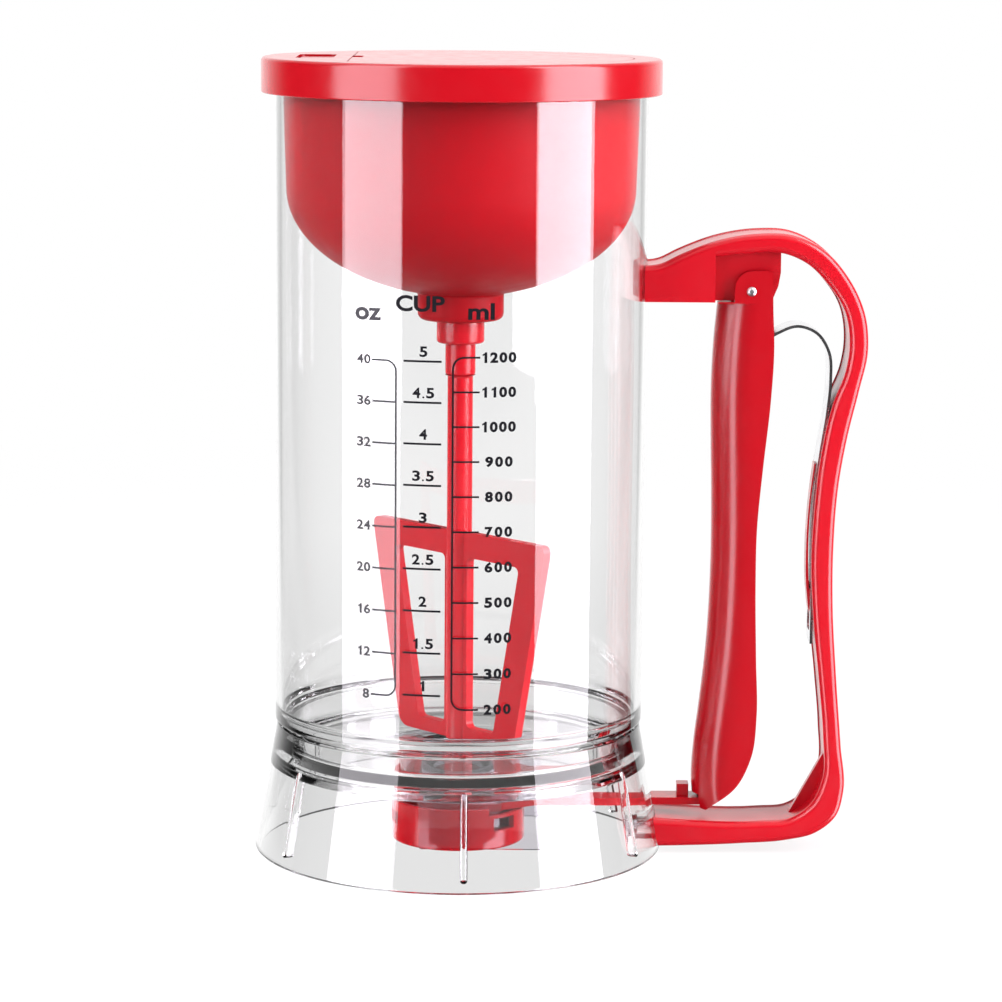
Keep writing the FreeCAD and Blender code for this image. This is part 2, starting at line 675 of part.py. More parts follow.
def contact_plates():
    """Two nickel strips under the cover, each across a pair of cells."""
    z = CELL_LOW + CELL_LENGTH
    pieces = []
    for side in (-1, 1):
        reach = CELL_RING_R * math.sqrt(0.5)
        y = side * reach
        pieces.append(box(-reach - 4.0, reach + 4.0, y - 4.0, y + 4.0, z + 0.1, z + 0.5))
    return Part.makeCompound(pieces)


def motor():
    can = rod(MOTOR_R, MOTOR_LOW, MOTOR_TOP)
    can = can.cut(box(-20, 20, 9.8, 20, MOTOR_LOW + 2, MOTOR_TOP - 3))
    can = can.cut(box(-20, 20, -20, -9.8, MOTOR_LOW + 2, MOTOR_TOP - 3))
    bell = rod(5.0, MOTOR_TOP, MOTOR_TOP + 1.8)
    tabs = [box(x - 0.3, x + 0.3, -1.2, 1.2, MOTOR_TOP - 0.5, MOTOR_TOP + 5.0) for x in (-8.5, 8.5)]
    whole = fused([can, bell] + tabs)
    return whole.cut(rod(SHAFT_R + RUNNING, 180, MOTOR_TOP - 4))


def motor_bracket():
    disc = rod(19.0, 182.0, MOTOR_LOW)
    disc = disc.cut(rod(4.2, 181, 185))
    for x in (-8.0, 8.0):
        disc = disc.cut(rod(1.3, 181, 185, x, 0))
    return disc


def motor_screws():
    pieces = []
    for x in (-8.0, 8.0):
        head = rod(2.2, 180.6, 182.0, x, 0)
        shank = rod(1.2, 181.5, MOTOR_LOW, x, 0)
        pieces.append(head.fuse(shank))
    return Part.makeCompound(pieces)


def shaft_seal():
    return ring(9.0, SHAFT_R + RUNNING, 174.0, 177.0)


def motor_shaft():
    return rod(SHAFT_R, COUPLING_LOW + 4.0, MOTOR_TOP - 5.0)


def drive_coupling():
    body = rod(COUPLING_R, COUPLING_LOW, COUPLING_TOP)
    body = body.cut(hexagon(3.0, COUPLING_LOW - 1, COUPLING_LOW + 4.0))
    return body.cut(rod(SHAFT_R, COUPLING_LOW, COUPLING_TOP + 1))


def hexagon(flat_half, z0, z1):
    """A six-sided prism on the axis."""
    corner = flat_half / math.cos(math.radians(30))
    points = [V(corner * math.cos(math.radians(60 * i)), corner * math.sin(math.radians(60 * i)), z0)
              for i in range(7)]
    return Part.Face(Part.makePolygon(points)).extrude(V(0, 0, z1 - z0))


def whisk():
    """Hub and shaft with a flat paddle frame that narrows toward the floor."""
    hub = rod(HUB_R, HUB_LOW, COUPLING_LOW)
    stem = hexagon(3.0, COUPLING_LOW - 0.5, COUPLING_LOW + 3.6)
    shaft = rod(WHISK_SHAFT_R, WHISK_LOW, HUB_LOW + 1)
    half = WHISK_THICK / 2
    bar = 8.0
    side_top = 11.2
    side_low = 9.5
    window_low = WHISK_LOW + 4.4
    window_top = WHISK_TOP - bar
    frame = side_plate(outline(
        (-WHISK_TOP_HALF, WHISK_TOP),
        (WHISK_TOP_HALF, WHISK_TOP),
        (WHISK_TOP_HALF - 0.4, WHISK_TOP - 4.0),
        (WHISK_LOW_HALF + 1.2, WHISK_LOW + 8.0),
        (WHISK_LOW_HALF - 1.4, WHISK_LOW + 1.8, WHISK_LOW_HALF - 7.0, WHISK_LOW),
        (-WHISK_LOW_HALF + 7.0, WHISK_LOW),
        (-WHISK_LOW_HALF + 1.4, WHISK_LOW + 1.8, -WHISK_LOW_HALF - 1.2, WHISK_LOW + 8.0),
        (-WHISK_TOP_HALF + 0.4, WHISK_TOP - 4.0),
    ), -half, half)
    for side in (-1, 1):
        window = side_plate(outline(
            (side * 5.2, window_top),
            (side * (WHISK_TOP_HALF - side_top), window_top),
            (side * (WHISK_LOW_HALF - side_low), window_low),
            (side * 5.2, window_low),
        ), -half - 1, half + 1)
        upright = [e for e in window.Edges if abs(e.Vertexes[0].Y - e.Vertexes[-1].Y) > 0.5]
        frame = frame.cut(window.makeFillet(1.8, upright))
    return fused([hub, stem, shaft, at_angle(frame, WHISK_DEG)])


NODES = {
    "jug": jug,
    "jug_floor": jug_floor,
    "base_skirt": base_skirt,
    "valve_guide": valve_guide,
    "valve_seal": valve_seal,
    "valve_slide": valve_slide,
    "nozzle_cap": nozzle_cap,
    "handle": handle,
    "handle_screw": handle_screw,
    "lever": lever,
    "lever_pin": lever_pin,
    "leaf_spring": leaf_spring,
    "lid": lid,
    "battery_cover": battery_cover,
    "power_button": power_button,
    "power_switch": power_switch,
    "motor_housing": motor_housing,
    "housing_screws": housing_screws,
    "battery_tray": battery_tray,
    "batteries": batteries,
    "contact_springs": contact_springs,
    "contact_plates": contact_plates,
    "motor": motor,
    "motor_bracket": motor_bracket,
    "motor_screws": motor_screws,
    "shaft_seal": shaft_seal,
    "motor_shaft": motor_shaft,
    "drive_coupling": drive_coupling,
    "whisk": whisk,
}

os.makedirs("parts", exist_ok=True)
for name, make in NODES.items():
    shape = make()
    shape.exportStep("parts/" + name + ".step")
    print(name, "solids", len(shape.Solids), "volume", round(shape.Volume), "valid", shape.isValid())
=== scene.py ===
import math

import bmesh
import bpy
from mathutils import Matrix, Vector


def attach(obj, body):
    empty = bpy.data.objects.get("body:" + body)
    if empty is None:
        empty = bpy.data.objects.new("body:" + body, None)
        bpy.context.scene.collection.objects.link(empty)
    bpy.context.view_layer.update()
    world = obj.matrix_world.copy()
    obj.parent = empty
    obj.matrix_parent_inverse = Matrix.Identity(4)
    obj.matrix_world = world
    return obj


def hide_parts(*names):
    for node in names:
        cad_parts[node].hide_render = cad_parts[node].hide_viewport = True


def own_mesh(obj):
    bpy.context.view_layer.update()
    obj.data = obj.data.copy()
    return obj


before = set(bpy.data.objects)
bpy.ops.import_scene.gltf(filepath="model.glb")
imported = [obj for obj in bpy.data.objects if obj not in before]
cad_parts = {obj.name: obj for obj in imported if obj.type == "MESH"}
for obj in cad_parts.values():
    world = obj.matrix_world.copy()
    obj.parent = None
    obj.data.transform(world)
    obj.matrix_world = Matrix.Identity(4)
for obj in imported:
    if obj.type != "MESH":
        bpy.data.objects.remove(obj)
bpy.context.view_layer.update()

# The jug: a tall clear tumbler with a drawn-in spigot under its shoulder, a floor and an outlet tube.
# Clear styrene plastic, injection moulded in one shot and polished. A T-shaped rail on the wall takes the
# handle. Sizes here and below are in millimetres.
MM = 0.001
JUG_R = 58.3
JUG_IN_R = 56.1
JUG_TOP = 247.45
SHOULDER_Z = 41.5
SPIGOT_R = 55.2
SPIGOT_IN_R = 53.2
FLOOR_TOP = 33.0
FLOOR_UNDER = 30.8
OUTLET_R = 8.5
OUTLET_TUBE_R = 10.5
OUTLET_LIP_R = 12.2
OUTLET_END = 18.2
RAIL_LOW = 176.1
RAIL_TOP = 185.4


def eased(corners, bits=5):
    """A closed outline with rounded corners. A corner is (x, z) or (x, z, radius)."""
    points = []
    for i, corner in enumerate(corners):
        here = Vector((corner[0], corner[1], 0))
        if len(corner) == 2:
            points.append((here.x, here.y))
            continue
        before = corners[i - 1]
        after = corners[(i + 1) % len(corners)]
        back = (Vector((before[0], before[1], 0)) - here).normalized()
        on = (Vector((after[0], after[1], 0)) - here).normalized()
        half = back.angle(on) / 2
        centre = here + (back + on).normalized() * corner[2] / math.sin(half)
        reach = corner[2] / math.tan(half)
        first = here + back * reach - centre
        last = here + on * reach - centre
        for k in range(bits + 1):
            spot = centre + first.slerp(last, k / bits) * corner[2]
            points.append((spot.x, spot.y))
    return points


def turned(outline, steps=216):
    """A closed mesh from a closed outline of (radius, height), turned about the jug's axis."""
    work = bmesh.new()
    rings = []
    for radius, height in outline:
        if radius < 0.001:
            rings.append([work.verts.new((0, 0, height * MM))] * steps)
            continue
        turns = [2 * math.pi * i / steps for i in range(steps)]
        rings.append([work.verts.new((radius * MM * math.cos(t), radius * MM * math.sin(t), height * MM))
                      for t in turns])
    for lower, upper in zip(rings, rings[1:] + rings[:1]):
        for i in range(steps):
            j = (i + 1) % steps
            corners = list(dict.fromkeys([lower[i], lower[j], upper[j], upper[i]]))
            if len(corners) > 2:
                work.faces.new(corners)
    return closed(work)


def closed(work):
    """The finished mesh of a bmesh, with its faces turned outward."""
    bmesh.ops.recalc_face_normals(work, faces=work.faces)
    mesh = bpy.data.meshes.new("part")
    work.to_mesh(mesh)
    work.free()
    return mesh


def slab(outline, low, high, along="Y"):
    """A flat outline made solid from low to high along an axis."""
    spot = {
        "X": lambda a, b, c: (c, a, b),
        "Y": lambda a, b, c: (a, c, b),
        "Z": lambda a, b, c: (a, b, c),
    }[along]
    work = bmesh.new()
    ends = []
    for level in (low, high):
        ends.append([work.verts.new(Vector(spot(a, b, level)) * MM) for a, b in outline])
        work.faces.new(ends[-1])
    for i in range(len(outline)):
        work.faces.new((ends[0][i - 1], ends[0][i], ends[1][i], ends[1][i - 1]))
    return closed(work)


def rectangle(x0, x1, z0, z1, radius=0.0):
    """The outline of a block, with its corners rounded when a radius is given."""
    corners = [(x0, z0), (x1, z0), (x1, z1), (x0, z1)]
    return eased([c + (radius,) for c in corners]) if radius else corners


def worked(mesh, prepare):
    """The mesh with a modifier applied. The modifier is added by prepare."""
    holder = bpy.data.objects.new("holder", mesh)
    bpy.context.scene.collection.objects.link(holder)
    prepare(holder)
    bpy.context.view_layer.update()
    result = bpy.data.meshes.new_from_object(holder.evaluated_get(bpy.context.evaluated_depsgraph_get()))
    bpy.data.objects.remove(holder)
    return result


def combined(mesh, other, how):
    """Two closed meshes made into one. How is "UNION", "DIFFERENCE" or "INTERSECT"."""
    tool = bpy.data.objects.new("tool", other)
    bpy.context.scene.collection.objects.link(tool)

    def prepare(holder):
        step = holder.modifiers.new("step", "BOOLEAN")
        step.operation = how
        step.solver = "EXACT"
        step.object = tool

    result = worked(mesh, prepare)
    bpy.data.objects.remove(tool)
    return result


def gathered(meshes):
    """Meshes that don't touch each other, in one."""
    work = bmesh.new()
    for mesh in meshes:
        work.from_mesh(mesh)
    return closed(work)


def broken_edges(mesh, width, angle=50, bits=2):
    """The mesh with its sharp edges rounded."""
    def prepare(holder):
        step = holder.modifiers.new("step", "BEVEL")
        step.width = width * MM
        step.segments = bits
        step.limit_method = "ANGLE"
        step.angle_limit = math.radians(angle)
        step.use_clamp_overlap = True

    return worked(mesh, prepare)


def moved(mesh, x=0.0, y=0.0, z=0.0, turn=0.0):
    """The mesh turned about the jug's axis by degrees, then moved."""
    mesh.transform(Matrix.Translation(Vector((x, y, z)) * MM) @ Matrix.Rotation(math.radians(turn), 4, "Z"))
    return mesh


def even_shading(holder):
    """Large flat faces keep their own direction where they meet rounded edges."""
    step = holder.modifiers.new("step", "WEIGHTED_NORMAL")
    step.weight = 100
    step.keep_sharp = True


def piece(name, mesh, body, finish, stands_for=(), crease=32):
    """A visible piece: smooth shaded with sharp edges kept, riding on its body."""
    mesh.materials.clear()
    mesh.materials.append(finish)
    mesh.shade_smooth()
    mesh.set_sharp_from_angle(angle=math.radians(crease))
    mesh = worked(mesh, even_shading)
    mesh.name = name
    shown = bpy.data.objects.new(name, mesh)
    bpy.context.scene.collection.objects.link(shown)
    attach(shown, body)
    if stands_for:
        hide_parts(*stands_for)
    return shown


def ramp(nodes, links, source, low, high, at_low, at_high):
    """A shader value carried from one range into another and held at both ends."""
    step = nodes.new("ShaderNodeMapRange")
    step.inputs["From Min"].default_value = low
    step.inputs["From Max"].default_value = high
    step.inputs["To Min"].default_value = at_low
    step.inputs["To Max"].default_value = at_high
    links.new(source, step.inputs["Value"])
    return step.outputs["Result"]


def finish_of(name, colour, roughness, grain, bump, ior=1.5):
    """A moulded or drawn surface: roughness that varies, and a fine bump at the size of its grain."""
    finish = bpy.data.materials.new(name)
    finish.use_nodes = True
    nodes = finish.node_tree.nodes
    links = finish.node_tree.links
    shader = nodes["Principled BSDF"]
    shader.inputs["Base Color"].default_value = (*colour, 1)
    shader.inputs["IOR"].default_value = ior
    place = nodes.new("ShaderNodeTexCoord")
    cloud = nodes.new("ShaderNodeTexNoise")
    cloud.inputs["Scale"].default_value = grain
    cloud.inputs["Detail"].default_value = 4
    links.new(place.outputs["Object"], cloud.inputs["Vector"])
    spread = ramp(nodes, links, cloud.outputs["Fac"], 0.3, 0.7, *roughness)
    links.new(spread, shader.inputs["Roughness"])
    skin = nodes.new("ShaderNodeBump")
    skin.inputs["Strength"].default_value = bump
    skin.inputs["Distance"].default_value = 0.0002
    links.new(cloud.outputs["Fac"], skin.inputs["Height"])
    links.new(skin.outputs["Normal"], shader.inputs["Normal"])
    return finish


def clear_finish(name, colour, roughness):
    """Clear plastic. Lamps shine through it, so what stands inside is lit as in the real one."""
    finish = finish_of(name, colour, roughness, 60.0, 0.006, ior=1.49)
    nodes = finish.node_tree.nodes
    links = finish.node_tree.links
    shader = nodes["Principled BSDF"]
    shader.inputs["Transmission Weight"].default_value = 1.0
    open_way = nodes.new("ShaderNodeBsdfTransparent")
    open_way.inputs["Color"].default_value = (0.975, 0.975, 0.975, 1)
    path = nodes.new("ShaderNodeLightPath")
    choice = nodes.new("ShaderNodeMixShader")
    links.new(path.outputs["Is Shadow Ray"], choice.inputs["Fac"])
    links.new(shader.outputs["BSDF"], choice.inputs[1])
    links.new(open_way.outputs["BSDF"], choice.inputs[2])
    links.new(choice.outputs["Shader"], nodes["Material Output"].inputs["Surface"])
    body = nodes.new("ShaderNodeVolumeAbsorption")
    body.inputs["Color"].default_value = (0.5, 0.51, 0.51, 1)
    body.inputs["Density"].default_value = 13.0
    links.new(body.outputs["Volume"], nodes["Material Output"].inputs["Volume"])
    return finish


clear_plastic = clear_finish("clear_polished_plastic", (1.0, 1.0, 1.0), (0.006, 0.02))

shell = turned(eased([
    (OUTLET_R, OUTLET_END, 0.3), (OUTLET_LIP_R, OUTLET_END, 0.3), (OUTLET_LIP_R, OUTLET_END + 1.5, 0.4),
    (OUTLET_TUBE_R, OUTLET_END + 1.5, 0.4), (OUTLET_TUBE_R, FLOOR_UNDER, 0.8), (SPIGOT_R, FLOOR_UNDER, 0.5),
    (SPIGOT_R, SHOULDER_Z, 0.4), (JUG_R, SHOULDER_Z, 1.0), (JUG_R, JUG_TOP, 0.7), (JUG_IN_R, JUG_TOP, 0.7),
    (JUG_IN_R, SHOULDER_Z + 4.5, 2.5), (SPIGOT_IN_R, SHOULDER_Z + 0.5, 2.5), (SPIGOT_IN_R, FLOOR_TOP, 2.5),
    (OUTLET_R + 4.0, FLOOR_TOP, 3.0), (OUTLET_R, FLOOR_TOP - 1.0, 0.5),
]))
rail_neck = slab(rectangle(JUG_R - 0.5, 62.0, -2.5, 2.5), RAIL_LOW, RAIL_TOP, "Z")
rail_head = slab(rectangle(61.05, 62.75, -4.7, 4.7, 0.3), RAIL_LOW, RAIL_TOP, "Z")
rail = combined(rail_neck, rail_head, "UNION")
shell = combined(shell, rail, "UNION")
piece("jug", shell, "base", clear_plastic, ("jug", "jug_floor"))

# The measuring scale: black ink printed on the outside of the jug's wall, facing away from the handle's
# side. Millilitres and cups in bold black, ounces in a thinner grey. Numbers and units only.
INK_IN = JUG_R + 0.01
INK_OUT = JUG_R + 0.045
ML_LOW = 56.1
ML_STEP = 10.72
ML_BOW = 0.036
CUP_LOW = 60.3
CUP_HIGH = 162.0
OUNCE_LOW = 59.6
OUNCE_HIGH = 161.9
CUP_BOW = 0.047
black_ink = finish_of("black_ink", (0.008, 0.008, 0.010), (0.35, 0.55), 900.0, 0.05)
grey_ink = finish_of("grey_ink", (0.055, 0.055, 0.06), (0.35, 0.55), 900.0, 0.05)
for ink in (black_ink, grey_ink):
    ink.node_tree.nodes["Principled BSDF"].inputs["Specular IOR Level"].default_value = 0.05


def on_wall(arc, height, depth):
    """A point of the print: arc is measured along the wall from the front, toward the handle."""
    turn = arc / JUG_R
    return Vector((depth * math.sin(turn), -depth * math.cos(turn), height)) * MM


def stroke(line, width):
    """A printed line along points of (arc, height)."""
    work = bmesh.new()
    rows = []
    for i, (arc, height) in enumerate(line):
        before = line[max(i - 1, 0)]
        after = line[min(i + 1, len(line) - 1)]
        along = Vector((after[0] - before[0], after[1] - before[1])).normalized()
        side = Vector((-along.y, along.x)) * width / 2
        rows.append([work.verts.new(on_wall(arc + sign * side.x, height + sign * side.y, depth))
                     for sign, depth in ((1, INK_IN), (-1, INK_IN), (-1, INK_OUT), (1, INK_OUT))])
    for near, far in zip(rows, rows[1:]):
        for k in range(4):
            work.faces.new((near[k - 1], near[k], far[k], far[k - 1]))
    work.faces.new(rows[0])
    work.faces.new(rows[-1])
    return closed(work)


def tick(left, right, height, width=0.52):
    """A level printed mark."""
    return stroke([(left + (right - left) * i / 6, height) for i in range(7)], width)


def bracket(inner, outer, low, high, corner, width):
    """The upright line of a scale, with its ends turned into the first and the last mark."""
    toward = math.copysign(corner, outer - inner)
    line = [(outer - (outer - inner - toward) * i / 4, high) for i in range(5)]
    line += [(inner + toward * (1 - math.sin(t)), high - corner * (1 - math.cos(t)))
             for t in (math.pi / 2 * i / 6 for i in range(1, 7))]
    line += [(inner, high - corner - (high - low - 2 * corner) * i / 24) for i in range(1, 25)]
    line += [(inner + toward * (1 - math.cos(t)), low + corner * (1 - math.sin(t)))
             for t in (math.pi / 2 * i / 6 for i in range(1, 7))]
    line += [(inner + toward + (outer - inner - toward) * i / 4, low) for i in range(1, 5)]
    return stroke(line, width)


def glyph(text, weight):
    """The flat mesh of a printed figure or unit, with its left and right ends and its height."""
    if text == "1":
        points = [(0.2, 0), (0.36, 0), (0.36, 0.7), (0.25, 0.7), (0.21, 0.63), (0.06, 0.57), (0.06, 0.45),
                  (0.2, 0.5)]
        work = bmesh.new()
        ends = [[work.verts.new((x - 0.02 + weight * (x > 0.3), y, z)) for x, y in points]
                for z in (-0.01, 0.01)]
        for ring in ends:
            work.faces.new(ring)
        for i in range(len(points)):
            work.faces.new((ends[0][i - 1], ends[0][i], ends[1][i], ends[1][i - 1]))
        return closed(work)
    curve = bpy.data.curves.new("lettering", "FONT")
    curve.body = text
    curve.offset = weight
    curve.extrude = 0.01
    curve.resolution_u = 4
    holder = bpy.data.objects.new("lettering", curve)
    bpy.context.scene.collection.objects.link(holder)
    bpy.context.view_layer.update()
    flat = bpy.data.meshes.new_from_object(holder.evaluated_get(bpy.context.evaluated_depsgraph_get()))
    bpy.data.objects.remove(holder)
    return flat


def printed(text, arc, foot, tall, wide, weight):
    """A glyph or a word wrapped on the wall: centred on arc, standing on foot, scaled to height and width."""
    flat = glyph(text, weight)
    xs = [v.co.x for v in flat.vertices]
    ys = [v.co.y for v in flat.vertices]
    for v in flat.vertices:
        across = (v.co.x - min(xs)) / (max(xs) - min(xs)) - 0.5
        up = (v.co.y - min(ys)) / (max(ys) - min(ys))
        v.co = on_wall(arc + across * wide, foot + up * tall, INK_OUT if v.co.z > 0 else INK_IN)
    return flat


def figures(text, arc, foot, tall, pitch, weight):
    """A number set figure by figure at an even pitch, centred on arc."""
    parts = []
    for i, sign in enumerate(text):
        spot = arc + (i - (len(text) - 1) / 2) * pitch
        wide = {"1": 1.35, ".": 0.6}.get(sign, 2.35) * tall / 3.1
        high = 0.55 if sign == "." else tall
        parts.append(printed(sign, spot, foot, high, wide, weight))
    return gathered(parts)


millilitres = [bracket(-1.5, 6.6, ML_LOW, 163.3, 3.4, 0.58)]
for i in range(11):
    z = ML_LOW + ML_STEP * i + ML_BOW * i * (10 - i)
    text = str(200 + 100 * i)
    arc, pitch = (12.2, 2.8) if len(text) == 4 else (12.5, 3.0)
    millilitres.append(figures(text, arc, z - 1.6, 3.2, pitch, 0.046))
    if 0 < i < 10:
        millilitres.append(tick(-1.5, 6.5, z, 0.56))
cups = []
for i in range(9):
    z = CUP_LOW + (CUP_HIGH - CUP_LOW) * i / 8 + CUP_BOW * i * (8 - i)
    text = str(1 + i // 2) + (".5" if i % 2 else "")
    cups.append(tick(-16.5, -4.9, z, 0.62))
    cups.append(figures(text, -10.4, z + 1.3, 3.2, 2.1, 0.03))
ounces = [bracket(-18.9, -26.9, OUNCE_LOW, OUNCE_HIGH, 3.2, 0.6)]
for i in range(9):
    z = OUNCE_LOW + (OUNCE_HIGH - OUNCE_LOW) * i / 8 + CUP_BOW * i * (8 - i)
    ounces.append(figures(str(8 + 4 * i), -29.6 + 0.9 * (i == 0), z - 1.4, 2.9, 2.5, 0.024))
    if 0 < i < 8:
        ounces.append(tick(-26.6, -18.9, z, 0.55))
millilitres.append(printed("ml", 6.9, 174.6, 5.0, 8.0, 0.03))
cups.append(printed("CUP", -11.5, 176.8, 4.9, 15.0, 0.03))
ounces.append(printed("oz", -28.1, 173.6, 3.9, 9.0, 0.03))
for name, marks, ink in (("scale_millilitres", millilitres, black_ink), ("scale_cups", cups, black_ink),
                         ("scale_ounces", ounces, grey_ink)):
    piece(name, gathered(marks), "base", ink)

# The skirt: a clear flared foot with six stiffening ribs inside. It is moulded in the same clear plastic,
# pushed up over the jug's spigot until it stops under the shoulder, and screwed to the handle's foot.
SKIRT_BOTTOM_R = 65.0
SKIRT_KINK_R = 59.5
SKIRT_KINK_Z = 30.0
SKIRT_TOP_R = 57.6
SKIRT_WALL = 2.1
SKIRT_LEDGE_R = 52.0
RIB_FIRST_DEG = -87.6
RIB_DEPTH = 3.2
RIB_SUNK = 1.3
RIB_HALF = 1.1
RIB_LOW = 3.0
RIB_BEND_Z = 28.0
RIB_TOP = 30.6
SLIDE_LOW = 13.9
SLIDE_TOP = 16.2
BAR_HALF = 4.5
SCREW_Z = 6.5
AIR = 0.15


def skirt_r(z):
    """Outer radius of the flared part at a height."""
    return SKIRT_BOTTOM_R + (SKIRT_KINK_R - SKIRT_BOTTOM_R) * z / SKIRT_KINK_Z


def circle(x, z, radius, bits=32):
    """The outline of a round bar or bore."""
    return [(x + radius * math.cos(t), z + radius * math.sin(t))
            for t in (2 * math.pi * k / bits for k in range(bits))]


skirt = turned(eased([
    (SKIRT_BOTTOM_R - SKIRT_WALL, 0, 0.8), (SKIRT_BOTTOM_R, 0, 0.9), (SKIRT_KINK_R, SKIRT_KINK_Z, 4.0),
    (SKIRT_TOP_R, SHOULDER_Z - 1.2, 0.5), (56.5, SHOULDER_Z - 0.9, 0.2),
    (SPIGOT_R + AIR, SHOULDER_Z - 0.9, 0.2), (SPIGOT_R + AIR, FLOOR_UNDER - AIR),
    (SKIRT_LEDGE_R, FLOOR_UNDER - AIR, 0.3), (SKIRT_LEDGE_R, FLOOR_UNDER - 1.6, 0.3),
    (SKIRT_KINK_R - SKIRT_WALL - 2.0, FLOOR_UNDER - 1.6, 0.8),
    (SKIRT_KINK_R - SKIRT_WALL, FLOOR_UNDER - 3.6, 0.8),
]))
for i in range(6):
    low = skirt_r(RIB_LOW) - SKIRT_WALL + RIB_SUNK
    high = skirt_r(RIB_BEND_Z) - SKIRT_WALL + RIB_SUNK
    rib = slab([(low, RIB_LOW), (high, RIB_BEND_Z), (high, RIB_TOP), (high - RIB_DEPTH - 1.0, RIB_TOP),
                (low - RIB_DEPTH - 1.0, RIB_LOW)], -RIB_HALF, RIB_HALF)
    rib = moved(broken_edges(rib, 0.95, 60, 4), turn=RIB_FIRST_DEG + 60 * i)
    skirt = combined(skirt, rib, "UNION")
boss = combined(slab(circle(0, SCREW_Z, 4.6), 57.0, 66.0, "X"),
                turned([(0, 0), (SKIRT_BOTTOM_R - 0.5, 0), (skirt_r(20) - 0.5, 20), (0, 20)]), "INTERSECT")
skirt = combined(skirt, boss, "UNION")
openings = gathered([
    slab(rectangle(-BAR_HALF - 0.7, BAR_HALF + 0.7, SLIDE_LOW - 0.7, SLIDE_TOP + 0.8, 0.4), 50, 70, "X"),
    slab(circle(0, SCREW_Z, 1.9, 24), 50, 70, "X"),
])
skirt = combined(skirt, openings, "DIFFERENCE")
piece("skirt", skirt, "base", clear_plastic, ("base_skirt",))

# The gate's guide: a clear collar with a round flange, a shelf and two side rails, moulded in clear plastic
# and welded under the jug's floor. The nozzle cap's hooks run in its three slots.
COLLAR_R = 19.2
COLLAR_IN_R = 17.2
GATE_R = 12.5
HOOK_FIRST_DEG = -20.0
LOCK_DEG = 18.0


def sector(r_in, r_out, z0, z1, from_deg, to_deg):
    """A piece of a tube between two angles."""
    bits = max(3, int(abs(to_deg - from_deg) / 3))
    turns = [math.radians(from_deg + (to_deg - from_deg) * i / bits) for i in range(bits + 1)]
    outer = [(r_out * math.cos(t), r_out * math.sin(t)) for t in turns]
    inner = [(r_in * math.cos(t), r_in * math.sin(t)) for t in reversed(turns)]
    return slab(outer + inner, z0, z1, "Z")


collar = turned(eased([
    (COLLAR_IN_R, 7.0, 0.4), (COLLAR_R, 7.0, 0.4), (COLLAR_R, 28.8, 0.6), (24.0, 28.8, 0.3),
    (24.0, FLOOR_UNDER - AIR, 0.3), (OUTLET_TUBE_R + 0.3, FLOOR_UNDER - AIR), (OUTLET_TUBE_R + 0.3, 28.8),
    (COLLAR_IN_R, 28.8, 0.6),
]), 144)
for side in (-1, 1):
    rail_edge = eased([(-12, 4, 1.0), (30, 4, 1.0), (24, 29.6, 1.0), (-12, 29.6, 1.0)])
    collar = combined(collar, slab(rail_edge, side * 22.6 - 0.8, side * 22.6 + 0.8), "UNION")
slots = [slab(rectangle(8, 24, -GATE_R - 0.7, GATE_R + 0.7), SLIDE_LOW - 0.5, SLIDE_TOP + 0.6, "Z")]
for i in range(3):
    start = HOOK_FIRST_DEG + 120 * i
    slots.append(sector(16, 20, 9.2, 12.3, start - 8, start + LOCK_DEG + 9))
collar = combined(collar, gathered(slots), "DIFFERENCE")
smoky_plastic = clear_finish("smoky_clear_plastic", (0.80, 0.77, 0.82), (0.02, 0.06))
piece("gate_guide", collar, "base", smoky_plastic, ("valve_guide",))

# The gate: a thin disc on a flat bar that runs out through the skirt. Moulded in red plastic. Two tabs on
# the bar hold the lever's lower end between them, so the squeezed lever draws the gate from the outlet.
BAR_END = 80.0
TAB_TOP = 20.2
RED = (0.33, 0.0016, 0.006)
red_plastic = finish_of("red_gloss_plastic", RED, (0.17, 0.23), 180.0, 0.01)
gate_side = [(GATE_R * math.cos(t), GATE_R * math.sin(t))
             for t in (math.radians(90 + 180 * k / 40) for k in range(41))]
gate_edge = gate_side + [
    (12, -GATE_R), (24, -BAR_HALF), (BAR_END, -BAR_HALF), (BAR_END, BAR_HALF), (24, BAR_HALF), (12, GATE_R)]
gate = slab(gate_edge, SLIDE_LOW, SLIDE_TOP, "Z")
for tab in (rectangle(69.8, 73.6, -2.6, 2.6, 0.5), rectangle(77.3, BAR_END, -BAR_HALF, BAR_HALF, 0.5)):
    gate = combined(gate, slab(tab, SLIDE_LOW + 1, TAB_TOP, "Z"), "UNION")
piece("gate", broken_edges(gate, 0.25), "valve", red_plastic, ("valve_slide",))

silicone = finish_of("milky_silicone", (0.80, 0.80, 0.78), (0.35, 0.5), 500.0, 0.05, ior=1.41)
seal = turned(eased([(OUTLET_R, SLIDE_TOP + 0.1, 0.3), (12.0, SLIDE_TOP + 0.1, 0.3), (12.0, OUTLET_END, 0.2),
                     (OUTLET_R, OUTLET_END, 0.2)]), 96)
piece("gate_seal", seal, "base", silicone, ("valve_seal",))

